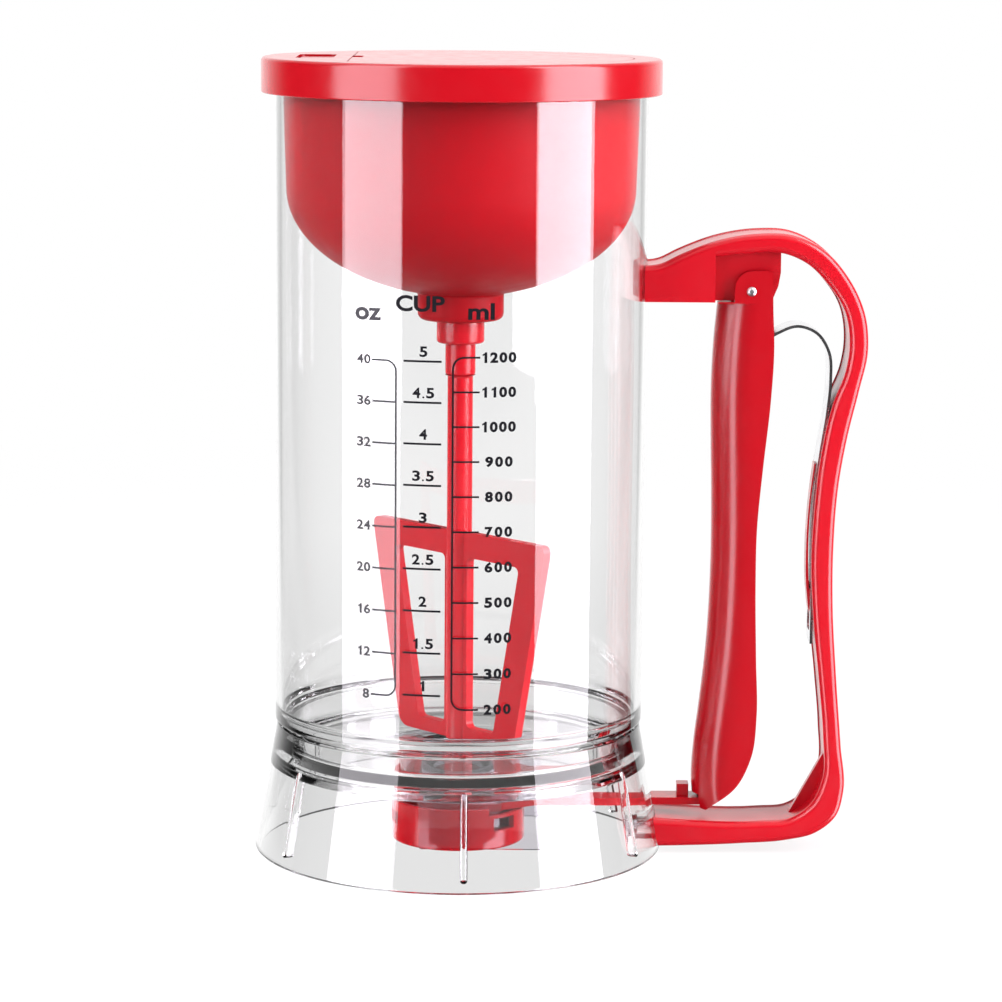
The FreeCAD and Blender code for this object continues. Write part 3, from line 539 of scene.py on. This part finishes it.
# The nozzle cap: a shallow red cup with the outlet in its floor, moulded in red plastic. Three hooks inside
# its wall turn into the collar's slots, and three windows beside them let the mould form the hooks.
CAP_R = 21.2
CAP_IN_R = 19.5
CAP_LOW = 2.7
CAP_TOP = 16.0
WINDOW_FIRST_DEG = -44.0
cap = turned(eased([
    (OUTLET_R, CAP_LOW, 0.5), (CAP_R, CAP_LOW, 0.9), (CAP_R, CAP_TOP, 0.4), (CAP_IN_R, CAP_TOP, 0.4),
    (CAP_IN_R, CAP_LOW + 2.0, 0.4), (GATE_R + 0.8, CAP_LOW + 2.0, 0.3), (GATE_R + 0.8, SLIDE_LOW - 0.1, 0.3),
    (OUTLET_R, SLIDE_LOW - 0.1, 0.5),
]), 144)
for i in range(3):
    start = HOOK_FIRST_DEG + 120 * i
    cap = combined(cap, sector(17.9, CAP_IN_R + 0.2, 9.6, 11.9, start - 6, start + 6), "UNION")
way = math.degrees(math.asin((GATE_R + 1.0) / CAP_IN_R))
gaps = [sector(16.9, CAP_R + 1, SLIDE_LOW - 0.4, CAP_TOP + 1, -way - LOCK_DEG, way)]
for i in range(3):
    start = WINDOW_FIRST_DEG + 120 * i
    gaps.append(sector(CAP_IN_R - 0.2, CAP_R + 1, 8.6, 12.6, start - 13, start + 11))
cap = combined(cap, gathered(gaps), "DIFFERENCE")
piece("nozzle_cap", cap, "nozzle", red_plastic, ("nozzle_cap",))

# The handle: a C-shaped band in red plastic, moulded in one piece with a bead along both edges, a lug for
# the lever's pin and a tongue that holds the spring. It slides down on the jug's rail, and one steel screw
# from inside the skirt holds its foot.
BAND_HALF = 12.0
BEAD_WIDTH = 2.5
BEAD_ROUND = 2.2
BEAD_PROUD = 0.4
PIN_X = 90.4
PIN_Z = 178.8
BAND_OUTER = [
    (50.0, 187.0), (62.0, 187.4), (68.0, 190.3), (80.2, 194.9), (92.5, 196.9), (103.0, 196.4),
    (112.5, 191.9), (120.7, 182.8), (126.0, 171.0), (126.9, 160.5), (124.4, 148.0), (121.2, 134.0),
    (118.7, 118.5), (117.5, 98.0), (117.7, 80.0), (119.2, 58.0), (121.2, 35.0), (122.4, 20.0),
    (120.2, 12.0), (113.5, 6.3), (105.0, 4.1), (89.8, 2.8), (55.0, 1.5)]
BAND_INNER = [
    (55.0, 11.2), (97.0, 10.3), (105.5, 11.2), (112.0, 15.8), (115.6, 24.0), (115.5, 38.0),
    (114.0, 54.0), (111.6, 76.0), (110.6, 94.6), (111.2, 110.0), (113.0, 128.0), (116.6, 144.8),
    (119.9, 153.5), (121.1, 163.0), (119.3, 173.0), (113.5, 181.8), (107.5, 187.5), (99.0, 190.9),
    (89.5, 190.7), (79.0, 189.6)]


def flowing(points, bits=8):
    """A smooth line through the points."""
    line = []
    ends = [points[0]] + list(points) + [points[-1]]
    for a, b, c, d in zip(ends, ends[1:], ends[2:], ends[3:]):
        a, b, c, d = (Vector(p) for p in (a, b, c, d))
        near = max((c - b).length, 1e-6)
        lead = near / max((b - a).length, near * 0.2) if (b - a).length > 0 else 1
        tail = near / max((d - c).length, near * 0.2) if (d - c).length > 0 else 1
        rise_b = ((b - a) * lead * lead + (c - b)) / (1 + lead) if (b - a).length > 0 else c - b
        rise_c = ((c - b) + (d - c) * tail * tail) / (1 + tail) if (d - c).length > 0 else c - b
        for k in range(bits):
            t = k / bits
            spot = (b * (2 * t**3 - 3 * t**2 + 1) + rise_b * (t**3 - 2 * t**2 + t)
                    + c * (3 * t**2 - 2 * t**3) + rise_c * (t**3 - t**2))
            line.append((spot.x, spot.y))
    line.append(tuple(points[-1]))
    return line


def sunk(line, depth):
    """The line moved square to itself, to the right of the way it runs."""
    out = []
    for i, (x, z) in enumerate(line):
        before = line[max(i - 1, 0)]
        after = line[min(i + 1, len(line) - 1)]
        along = Vector((after[0] - before[0], after[1] - before[1])).normalized()
        out.append((x + along.y * depth, z - along.x * depth))
    return out


def layered(outline_at, stations):
    """A closed mesh from the same outline at several places across, each sunk by its own depth."""
    work = bmesh.new()
    rows = [[work.verts.new(Vector((x, y, z)) * MM) for x, z in outline_at(depth)] for y, depth in stations]
    for near, far in zip(rows, rows[1:]):
        for i in range(len(near)):
            work.faces.new((near[i - 1], near[i], far[i], far[i - 1]))
    work.faces.new(rows[0])
    work.faces.new(rows[-1])
    return closed(work)


def band_at(depth):
    """The band from the side, with its two long faces sunk."""
    outer = sunk(flowing(BAND_OUTER), depth)
    inner = sunk(flowing(BAND_INNER), depth)
    return [(50.0, 175.5)] + outer + inner + [(79.0, 175.5)]


edge = [(BAND_HALF - BEAD_ROUND * (1 - math.cos(a)), BEAD_ROUND * (1 - math.sin(a)))
        for a in (math.pi / 2 * k / 7 for k in range(8))]
edge += [(BAND_HALF - BEAD_WIDTH, 0.1), (BAND_HALF - BEAD_WIDTH - 0.15, BEAD_PROUD - 0.1),
         (BAND_HALF - BEAD_WIDTH - 0.4, BEAD_PROUD), (3.0, BEAD_PROUD)]
# A lighter copy of the red plastic for the handle, whisk and coupling. Its brighter base colour is painted
# light, standing in for the light these pieces catch.
painted_light_red = finish_of("red_plastic_painted_lighter", (0.42, 0.0025, 0.009), (0.19, 0.27), 180.0, 0.01)
band = layered(band_at, edge + [(-y, depth) for y, depth in reversed(edge)])
lug = eased([(78.0, 175.7, 0.5), (96.9, 175.7, 1.2), (98.8, 180.3, 4.0), (99.5, 184.5, 4.0), (99.5, 191.7),
             (78.0, 190.8)])
corner_rib = [(103.0, 8.0), (105.5, 10.4), (116.8, 31.0), (119.0, 34.0), (119.0, 14.0), (114.0, 9.0)]
tongue_near = [(113.0, 72.6), (111.4, 75.0), (110.0, 82.6), (109.5, 97.0), (110.2, 112.0), (111.5, 124.0)]
tongue_far = [(112.0, 124.0), (110.8, 113.0), (110.2, 98.0), (110.6, 84.0)]
tongue = [(114.5, 71.5)] + flowing(tongue_near) + flowing(tongue_far) + [(114.5, 84.0)]
for outline, half in ((lug, 7.4), (corner_rib, 1.3), (tongue, 3.2)):
    band = combined(band, slab(outline, -half, half), "UNION")
room = gathered([
    turned([(0, 160), (JUG_R + 0.05, 160), (JUG_R + 0.05, 215), (0, 215)]),
    turned([(0, -2), (skirt_r(-2) + 0.1, -2), (SKIRT_KINK_R + 0.1, SKIRT_KINK_Z), (0, SKIRT_KINK_Z)]),
])
band = combined(band, room, "DIFFERENCE")
rail_room = combined(slab(rectangle(57.0, 62.0, -2.6, 2.6), 174.0, 185.5, "Z"),
                     slab(rectangle(61.0, 62.8, -4.8, 4.8), 174.0, 185.5, "Z"), "UNION")
band = combined(band, rail_room, "DIFFERENCE")
band = combined(band, slab(circle(PIN_X, PIN_Z, 1.55), -15, 15), "DIFFERENCE")
piece("handle", band, "base", painted_light_red, ("handle",))

bright_steel = finish_of("bright_steel", (0.60, 0.60, 0.61), (0.20, 0.30), 300.0, 0.01)
bright_steel.node_tree.nodes["Principled BSDF"].inputs["Metallic"].default_value = 1.0
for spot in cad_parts["handle_screw"].material_slots:
    spot.material = bright_steel

# The lever: a hollow red moulding with a rounded front, thin cheeks and five cross webs, open toward the
# grip. It swings on a steel pin through the handle's lug. Its foot stands between the tabs of the gate's bar.
LEVER_HALF = 10.2
CHEEK = 2.4
FRONT_WALL = 2.2
NOSE_DEEP = 13.0
LEVER_REACH = 112.0
EAR_GAP_X = 86.4
WEB_HEIGHTS = (40.0, 66.0, 92.0, 118.0, 144.0)
LEVER_FRONT = [
    (77.4, 6.0), (75.2, 14.0), (74.4, 22.0), (74.9, 33.0), (76.4, 46.0), (78.4, 66.0), (79.4, 88.0),
    (79.4, 112.0), (78.9, 132.0), (78.7, 148.0), (79.2, 162.0), (80.4, 176.0)]
LEVER_BACK = [
    (97.2, 173.0), (97.7, 161.0), (97.0, 145.0), (94.9, 123.0), (93.4, 104.0), (93.3, 86.0), (93.9, 62.0),
    (94.4, 44.0), (93.0, 31.0), (88.6, 21.4), (80.5, 14.2)]


def nose(shift, half, deep):
    """The half-round front as a solid that runs on toward the grip."""
    work = bmesh.new()
    rows = []
    turns = [math.pi * (k / 24 - 0.5) for k in range(25)]
    for x, z in flowing(LEVER_FRONT, 5):
        ring = [(LEVER_REACH, -half)]
        ring += [(x + shift + deep * (1 - math.cos(t)), half * math.sin(t)) for t in turns]
        ring.append((LEVER_REACH, half))
        rows.append([work.verts.new(Vector((x_, y_, z)) * MM) for x_, y_ in ring])
    for near, far in zip(rows, rows[1:]):
        for i in range(len(near)):
            work.faces.new((near[i - 1], near[i], far[i], far[i - 1]))
    work.faces.new(rows[0])
    work.faces.new(rows[-1])
    return closed(work)


ear_top = eased([(60.0, 175.4), (85.2, 175.4, 0.4), (85.2, 185.2, 5.6), (96.9, 185.2, 1.4), (97.2, 173.0)])
foot = [(60.0, 20.5), (73.8, 20.5), (74.6, 16.6), (75.8, 14.2), (77.4, 13.0), (79.0, 12.8)]
lever_side = ear_top + flowing(LEVER_BACK)[1:] + foot[::-1]
inside = LEVER_HALF - CHEEK
ears = slab(rectangle(80.0, LEVER_REACH, -LEVER_HALF, LEVER_HALF), 175.0, 190.0, "Z")
lever = combined(nose(0.0, LEVER_HALF, NOSE_DEEP), ears, "UNION")
lever = combined(lever, slab(lever_side, -LEVER_HALF, LEVER_HALF), "INTERSECT")
roof = slab(rectangle(60, EAR_GAP_X, 172.3, 200), -20, 20)
hollow = combined(nose(FRONT_WALL, inside, NOSE_DEEP - 2.0), roof, "DIFFERENCE")
ear_gap = slab(rectangle(EAR_GAP_X, LEVER_REACH, -inside, inside), 170.0, 195.0, "Z")
hollow = combined(hollow, ear_gap, "UNION")
hollow = combined(hollow, slab(rectangle(60.0, 88.0, -inside, inside), 174.6, 195.0, "Z"), "UNION")
shelves = [slab(rectangle(70.0, 89.0, z - 0.7, z + 0.7, 0.3), -inside - 2, inside + 2)
           for z in WEB_HEIGHTS]
shelves.append(slab([(70, 158.4), (93.5, 158.4), (93.5, 160.4), (92.3, 160.4), (92.3, 159.8), (70, 159.8)],
                    -inside - 2, inside + 2))
hollow = combined(hollow, gathered(shelves), "DIFFERENCE")
lever = combined(lever, hollow, "DIFFERENCE")
notch = slab(rectangle(-BAR_HALF - 0.8, BAR_HALF + 0.8, 5.0, 17.5), 70, 80, "X")
pin_hole = slab(circle(PIN_X, PIN_Z, 1.52), -15, 15)
lever = combined(combined(lever, notch, "DIFFERENCE"), pin_hole, "DIFFERENCE")
piece("lever", broken_edges(lever, 0.3, 60), "lever", red_plastic, ("lever",))

pin = turned(eased([(0, -11.0), (0.8, -10.9, 0.6), (1.5, -10.3, 0.4), (1.5, 10.3, 0.4), (0.8, 10.9, 0.6),
                    (0, 11.0)]), 48)
pin.transform(Matrix.Translation(Vector((PIN_X, 0, PIN_Z)) * MM) @ Matrix.Rotation(math.pi / 2, 4, "X"))
pin_steel = finish_of("turned_steel", (0.60, 0.60, 0.60), (0.34, 0.46), 300.0, 0.02)
pin_steel.node_tree.nodes["Principled BSDF"].inputs["Metallic"].default_value = 1.0
piece("lever_pin", pin, "lever", pin_steel, ("lever_pin",))

# The leaf spring: a bent strip of spring steel with a slot near its end. One end lies on the lever's seat,
# the other is held behind the handle's tongue. The squeezed lever presses it flatter against the grip.
SPRING_THICK = 0.9
SPRING_HALF = 7.0
SPRING_LINE = [
    (87.0, 160.3), (93.0, 161.4), (98.8, 165.0), (105.2, 167.3), (111.0, 165.2), (114.6, 159.6),
    (115.3, 151.0), (114.6, 141.5), (112.6, 127.5), (111.1, 113.0), (110.7, 98.0), (110.9, 84.0),
    (110.9, 67.0)]
line = flowing(SPRING_LINE, 6)
spring = slab(sunk(line, -SPRING_THICK) + line[::-1], -SPRING_HALF, SPRING_HALF)
spring = combined(spring, slab(rectangle(-3.8, 3.8, 70.5, 86.0, 1.5), 105, 116, "X"), "DIFFERENCE")
strip = piece("leaf_spring", spring, "base", bright_steel, ("leaf_spring",))
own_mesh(strip)

# The motor housing: a red bowl under the lid with a neck for the shaft. One moulding in red plastic, held
# to the lid by three screws. Tray, cells, contacts and motor stand inside it, out of sight.
HOUSING_R = 55.3
HOUSING_WALL = 2.0
BOWL_TOP_Z = 210.0
BOWL_R = 54.5
BOWL_DEPTH = 34.0
BOSS_R = 13.5
BOSS_LOW = 168.5
LID_UNDER = 247.5


def bowl(offset, end_r, bits=28):
    """The bowl's curve from its rim down to a radius, on an ellipse shrunk by the offset."""
    wide = BOWL_R - offset
    deep = BOWL_DEPTH - offset
    last = math.acos(end_r / wide)
    return [(wide * math.cos(last * k / bits), BOWL_TOP_Z - deep * math.sin(last * k / bits))
            for k in range(bits + 1)]


outer_bowl = bowl(0.0, BOSS_R + 0.8)
inner_bowl = bowl(HOUSING_WALL, 9.0)
housing = turned(eased([(3.2, BOSS_LOW), (BOSS_R, BOSS_LOW, 2.2), (BOSS_R, 176.4), (BOSS_R + 0.25, 176.75)])
                 + outer_bowl[::-1]
                 + eased([(HOUSING_R, 236.0), (HOUSING_R, LID_UNDER), (HOUSING_R - HOUSING_WALL, LID_UNDER)])
                 + inner_bowl + [(9.0, 174.0), (3.2, 174.0)])
satin_red = finish_of("red_satin_plastic", RED, (0.42, 0.52), 180.0, 0.02)
satin_red.node_tree.nodes["Principled BSDF"].inputs["Specular IOR Level"].default_value = 0.12
piece("motor_housing", housing, "motor_unit", satin_red, ("motor_housing",))

white_plastic = finish_of("white_moulded_plastic", (0.80, 0.80, 0.78), (0.35, 0.5), 500.0, 0.08)
black_plastic = finish_of("black_moulded_plastic", (0.02, 0.02, 0.02), (0.4, 0.55), 500.0, 0.08)
cell_wrap = finish_of("plain_cell_wrap", (0.05, 0.05, 0.055), (0.2, 0.3), 300.0, 0.03)
nickel = finish_of("nickel_plate", (0.66, 0.63, 0.58), (0.15, 0.3), 900.0, 0.05)
nickel.node_tree.nodes["Principled BSDF"].inputs["Metallic"].default_value = 1.0
for node, finish in (
        ("battery_tray", white_plastic), ("motor_bracket", white_plastic), ("batteries", cell_wrap),
        ("contact_springs", nickel), ("contact_plates", nickel), ("motor", bright_steel),
        ("motor_screws", bright_steel), ("housing_screws", bright_steel), ("motor_shaft", bright_steel),
        ("shaft_seal", silicone), ("power_switch", black_plastic)):
    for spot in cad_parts[node].material_slots:
        spot.material = finish

# The lid: a shallow red cap pushed over the jug's rim, with a recess for the battery cover, an oblong well
# for the button and ears for the housing's screws. Moulded in red plastic.
HEIGHT = 250.0
LID_R = 62.2
LID_RIM_IN_R = 60.0
LID_RIM_LOW = 239.0
COVER_R = 53.5
COVER_CHORD_X = -34.0
COVER_GAP = 0.3
COVER_THICK = 1.4
WELL_X = -45.2
WELL_HALF_X = 5.8
WELL_HALF_Y = 16.0
SLEEVE_LOW = 243.0
TUBE_R = HOUSING_R - HOUSING_WALL - 0.2


def d_outline(radius, chord_x, corner=0.0, bits=160):
    """A circle cut off along a chord on the button's side, with its two corners rounded."""
    reach = math.degrees(math.acos(chord_x / radius))
    arc = [(radius * math.cos(math.radians(a)), radius * math.sin(math.radians(a)))
           for a in (-reach + 2 * reach * k / bits for k in range(bits + 1))]
    if corner:
        arc[0] += (corner,)
        arc[-1] += (corner,)
        trim = int(corner / (2 * radius * math.radians(reach) / bits)) + 2
        arc = [arc[0]] + arc[trim:-trim] + [arc[-1]]
    return eased(arc)


def well_outline(grow):
    """The oblong outline of the button's well."""
    return rectangle(WELL_X - WELL_HALF_X - grow, WELL_X + WELL_HALF_X + grow, -WELL_HALF_Y - grow,
                     WELL_HALF_Y + grow, 2.5 + grow)


lid = turned(eased([
    (0, LID_UNDER), (LID_RIM_IN_R, LID_UNDER, 0.6), (LID_RIM_IN_R, LID_RIM_LOW, 0.3),
    (LID_R, LID_RIM_LOW, 0.5), (LID_R, HEIGHT, 1.3), (0, HEIGHT),
]))
recess = slab(d_outline(COVER_R, COVER_CHORD_X, 3.0), HEIGHT - COVER_THICK - 0.1, HEIGHT + 1, "Z")
mouth = slab(d_outline(COVER_R - 3.0, COVER_CHORD_X + 3.0), LID_UNDER - 1, HEIGHT - 0.5, "Z")
lid = combined(combined(lid, recess, "DIFFERENCE"), mouth, "DIFFERENCE")
tube = turned([(COVER_R - 3.0, SLEEVE_LOW), (TUBE_R, SLEEVE_LOW), (TUBE_R, LID_UNDER + 0.3),
               (COVER_R - 3.0, LID_UNDER + 0.3)])
sleeve = combined(slab(well_outline(1.2), SLEEVE_LOW, LID_UNDER + 0.3, "Z"),
                  turned([(0, 242), (53.0, 242), (53.0, 249), (0, 249)]), "INTERSECT")
lid = combined(combined(lid, tube, "UNION"), sleeve, "UNION")
lid = combined(lid, slab(well_outline(0.0), 240, HEIGHT + 1, "Z"), "DIFFERENCE")
piece("lid", broken_edges(lid, 0.2, 60), "motor_unit", red_plastic, ("lid",))

# The battery cover: a D-shaped red plate that lies flush in the lid's recess, with a rim below it that
# centres it and a scoop at its straight edge to lift it by. Moulded in red plastic.
plate_edge = d_outline(COVER_R - COVER_GAP, COVER_CHORD_X + COVER_GAP, 2.8)
cover = slab(plate_edge, HEIGHT - COVER_THICK, HEIGHT, "Z")
rim_outside = slab(d_outline(COVER_R - 3.4, COVER_CHORD_X + 3.4), 246.0, HEIGHT - 1, "Z")
rim_inside = slab(d_outline(COVER_R - 5.0, COVER_CHORD_X + 5.0), 245.0, HEIGHT - COVER_THICK, "Z")
rim = combined(rim_outside, rim_inside, "DIFFERENCE")
presser = turned([(22.0, 243.8), (26.0, 243.8), (26.0, HEIGHT - 1), (22.0, HEIGHT - 1)])
scoop = circle(COVER_CHORD_X + 1.0, HEIGHT + 3.2, 4.0, 48)
cover = combined(combined(cover, rim, "UNION"), presser, "UNION")
cover = combined(cover, slab(scoop, -6.0, 6.0), "DIFFERENCE")
piece("battery_cover", broken_edges(cover, 0.4, 60), "cover", red_plastic, ("battery_cover",))

# The button: a softly crowned oblong key in red plastic that floats in the lid's well over a small switch.
key = slab(rectangle(WELL_X - WELL_HALF_X + 0.4, WELL_X + WELL_HALF_X - 0.4, -WELL_HALF_Y + 0.4,
                     WELL_HALF_Y - 0.4, 2.1), 246.6, HEIGHT - 0.6, "Z")
key = broken_edges(key, 0.6, 60, 4)
stem = slab(circle(WELL_X, 0, 2, 24), SLEEVE_LOW, 247.0, "Z")
piece("power_button", combined(key, stem, "UNION"), "button", red_plastic, ("power_button",))

# The whisk: a flat paddle frame on a round shaft with a thicker hub, moulded in one piece in red plastic.
# Its six-sided stem is pushed into the coupling on the motor's shaft, so it pulls off for washing.
WHISK_DEG = -47.1
WHISK_TOP = 101.5
WHISK_TOP_HALF = 40.2
WHISK_LOW = 34.4
WHISK_LOW_HALF = 27.2
WHISK_HALF = 1.5
HUB_R = 4.75
HUB_LOW = 151.1
COUPLING_LOW = 161.2
COUPLING_TOP = 168.2
COUPLING_R = 7.5
frame_edge = eased([
    (-WHISK_TOP_HALF, WHISK_TOP, 2.2), (WHISK_TOP_HALF, WHISK_TOP, 2.2),
    (WHISK_TOP_HALF - 0.4, WHISK_TOP - 4.0),
    (WHISK_LOW_HALF + 1.2, WHISK_LOW + 8.0, 12.0), (WHISK_LOW_HALF - 0.4, WHISK_LOW, 5.0),
    (-WHISK_LOW_HALF + 0.4, WHISK_LOW, 5.0), (-WHISK_LOW_HALF - 1.2, WHISK_LOW + 8.0, 12.0),
    (-WHISK_TOP_HALF + 0.4, WHISK_TOP - 4.0),
])
paddle = slab(frame_edge, -WHISK_HALF, WHISK_HALF)
window = eased([(5.2, WHISK_TOP - 8.0, 1.8), (WHISK_TOP_HALF - 11.2, WHISK_TOP - 8.0, 1.8),
                (WHISK_LOW_HALF - 9.5, WHISK_LOW + 4.4, 1.8), (5.2, WHISK_LOW + 4.4, 1.8)])
windows = gathered([slab([(side * x, z) for x, z in window], -3, 3) for side in (-1, 1)])
paddle = moved(broken_edges(combined(paddle, windows, "DIFFERENCE"), 0.45, 60, 3), turn=WHISK_DEG)
shaft = turned(eased([(0, WHISK_LOW), (4.0, WHISK_LOW, 0.5), (4.0, HUB_LOW, 0.8), (HUB_R, HUB_LOW, 0.8),
                      (HUB_R, COUPLING_LOW - 0.05, 0.3), (0, COUPLING_LOW - 0.05)]), 96)
# The whisk takes the lighter red copy. Its brighter colour is painted light, for the light that reaches it
# through the jug's wall.
piece("whisk", combined(shaft, paddle, "UNION"), "drive", painted_light_red, ("whisk",))

coupling = turned(eased([(0, COUPLING_LOW), (COUPLING_R, COUPLING_LOW, 0.9), (COUPLING_R, COUPLING_TOP, 0.3),
                         (0, COUPLING_TOP)]), 120)
# The coupling takes the lighter red copy as well. Its brighter colour is painted light.
piece("drive_coupling", coupling, "drive", painted_light_red, ("drive_coupling",))

# The studio: a round white floor that keeps a faint shadow, two tall soft boxes at the sides, a broad soft
# light from above and a white room behind. Seen through the clear plastic, the floor glows dimmer on the
# camera's side and close around the object: painted shade. They aren't part of the object.
FLOOR_SIZE = 40.0
BOX_DISTANCE = 1.1
BOX_Z = 0.40
BOX_TALL = 2.6


def reckoned(nodes, links, operation, *terms):
    """A sum, product or the like of shader values and plain numbers."""
    step = nodes.new("ShaderNodeMath")
    step.operation = operation
    for i, term in enumerate(terms):
        if isinstance(term, float):
            step.inputs[i].default_value = term
        else:
            links.new(term, step.inputs[i])
    return step.outputs["Value"]


disc = bmesh.new()
bmesh.ops.create_circle(disc, cap_ends=True, segments=96, radius=FLOOR_SIZE)
floor_mesh = bpy.data.meshes.new("floor")
disc.to_mesh(floor_mesh)
disc.free()
floor = bpy.data.objects.new("floor", floor_mesh)
bpy.context.scene.collection.objects.link(floor)
floor.location.z = -0.0003
paper = bpy.data.materials.new("white_paper")
paper.use_nodes = True
nodes = paper.node_tree.nodes
links = paper.node_tree.links
sheet = nodes["Principled BSDF"]
sheet.inputs["Base Color"].default_value = (0.9, 0.9, 0.9, 1)
sheet.inputs["Roughness"].default_value = 0.9
glow = nodes.new("ShaderNodeEmission")
path = nodes.new("ShaderNodeLightPath")
place = nodes.new("ShaderNodeTexCoord")
split = nodes.new("ShaderNodeSeparateXYZ")
links.new(place.outputs["Object"], split.inputs["Vector"])
# Seen through the clear plastic, the floor's glow is dimmed: down to 0.45 on the camera's side and the sides,
# to 0.1 far in front, and to 0.85 close around the object. This is painted shade.
aside = reckoned(nodes, links, "ABSOLUTE", split.outputs["X"])
wedge = reckoned(nodes, links, "MULTIPLY_ADD", aside, -3.0, split.outputs["Y"])
fade = ramp(nodes, links, wedge, -0.6, -0.3, 0.45, 1.0)
far = nodes.new("ShaderNodeVectorMath")
far.operation = "LENGTH"
links.new(place.outputs["Object"], far.inputs[0])
near = ramp(nodes, links, far.outputs["Value"], 0.1, 0.6, 0.85, 1.0)
front = ramp(nodes, links, split.outputs["Y"], -1.0, -0.75, 0.1, 1.0)
lit = reckoned(nodes, links, "MULTIPLY", fade, front)
through = reckoned(nodes, links, "MULTIPLY", lit, near)
level = reckoned(nodes, links, "MAXIMUM", path.outputs["Is Camera Ray"], through)
links.new(level, glow.inputs["Strength"])
spread = ramp(nodes, links, far.outputs["Value"], 0.2, 0.9, 0.86, 1.0)
open_floor = reckoned(nodes, links, "MULTIPLY", path.outputs["Is Camera Ray"], spread)
share = reckoned(nodes, links, "MAXIMUM", open_floor, path.outputs["Is Transmission Ray"])
blend = nodes.new("ShaderNodeMixShader")
links.new(share, blend.inputs["Fac"])
links.new(sheet.outputs["BSDF"], blend.inputs[1])
links.new(glow.outputs["Emission"], blend.inputs[2])
links.new(blend.outputs["Shader"], nodes["Material Output"].inputs["Surface"])
floor.visible_glossy = False
floor_mesh.materials.append(paper)

room_light = bpy.data.worlds.new("white_room")
bpy.context.scene.world = room_light
room_light.use_nodes = True
nodes = room_light.node_tree.nodes
links = room_light.node_tree.links
dim = nodes["Background"]
dim.inputs["Color"].default_value = (1, 1, 1, 1)
white = nodes.new("ShaderNodeBackground")
white.inputs["Strength"].default_value = 1.0
white.inputs["Color"].default_value = (1, 1, 1, 1)
where = nodes.new("ShaderNodeTexCoord")
split = nodes.new("ShaderNodeSeparateXYZ")
links.new(where.outputs["Generated"], split.inputs["Vector"])
fade = ramp(nodes, links, split.outputs["Y"], 0.5, 0.85, 0.05, 1.0)
above = ramp(nodes, links, split.outputs["Z"], 0.35, 0.7, 0.05, 0.9)
level = reckoned(nodes, links, "MAXIMUM", fade, above)
path = nodes.new("ShaderNodeLightPath")
bent = path.outputs["Is Transmission Ray"]
mirrored = reckoned(nodes, links, "SUBTRACT", path.outputs["Is Glossy Ray"], bent)
mirrored.node.use_clamp = True
more = reckoned(nodes, links, "MULTIPLY_ADD", mirrored, 0.3, 1.0)
less = reckoned(nodes, links, "MULTIPLY_ADD", path.outputs["Is Diffuse Ray"], -0.7, more)
least = reckoned(nodes, links, "MULTIPLY_ADD", bent, -0.85, less)
power = reckoned(nodes, links, "MULTIPLY", level, least)
links.new(power, dim.inputs["Strength"])
blend = nodes.new("ShaderNodeMixShader")
links.new(path.outputs["Is Camera Ray"], blend.inputs["Fac"])
links.new(dim.outputs["Background"], blend.inputs[1])
links.new(white.outputs["Background"], blend.inputs[2])
links.new(blend.outputs["Shader"], nodes["World Output"].inputs["Surface"])


def soft_box(name, spot, aim, wide, tall, radiance):
    """A rectangular lamp that faces a point, with the same brightness over its whole face."""
    lamp = bpy.data.lights.new(name, "AREA")
    lamp.shape = "RECTANGLE"
    lamp.size = wide
    lamp.size_y = tall
    lamp.energy = radiance * math.pi * wide * tall
    holder = bpy.data.objects.new(name, lamp)
    bpy.context.scene.collection.objects.link(holder)
    holder.location = spot
    holder.rotation_euler = (Vector(aim) - Vector(spot)).to_track_quat("-Z", "Y").to_euler()
    holder.visible_camera = False
    lamp.color = (1.0, 0.95, 1.03)


for name, degrees, wide, radiance in (("left_box", -54.8, 0.788, 6.8), ("right_box", 66.9, 0.796, 10.0)):
    x = BOX_DISTANCE * math.sin(math.radians(degrees))
    y = -BOX_DISTANCE * math.cos(math.radians(degrees))
    soft_box(name, (x, y, BOX_Z), (0, 0, BOX_Z), wide, BOX_TALL, radiance)
soft_box("top_box", (0, 0.35, 1.3), (0, 0, 0.2), 1.3, 1.0, 1.6)

# The camera: it stands where the photograph was taken from and looks slightly down. Its place was worked
# out from the rims of the lid, the jug and the skirt.
CAMERA_SPOT = (0.01308, -1.1163, 0.2907)
CAMERA_TILT_DEG = 80.846
CAMERA_ROLL_DEG = 0.434
camera = bpy.data.cameras.new("camera")
camera.lens = 128.57
camera.sensor_width = 36.0
holder = bpy.data.objects.new("camera", camera)
bpy.context.scene.collection.objects.link(holder)
tilt = Matrix.Rotation(math.radians(CAMERA_TILT_DEG), 4, "X")
roll = Matrix.Rotation(math.radians(CAMERA_ROLL_DEG), 4, "Z")
holder.matrix_world = Matrix.Translation(CAMERA_SPOT) @ tilt @ roll
bpy.context.scene.camera = holder
bpy.context.scene.view_settings.view_transform = "Standard"
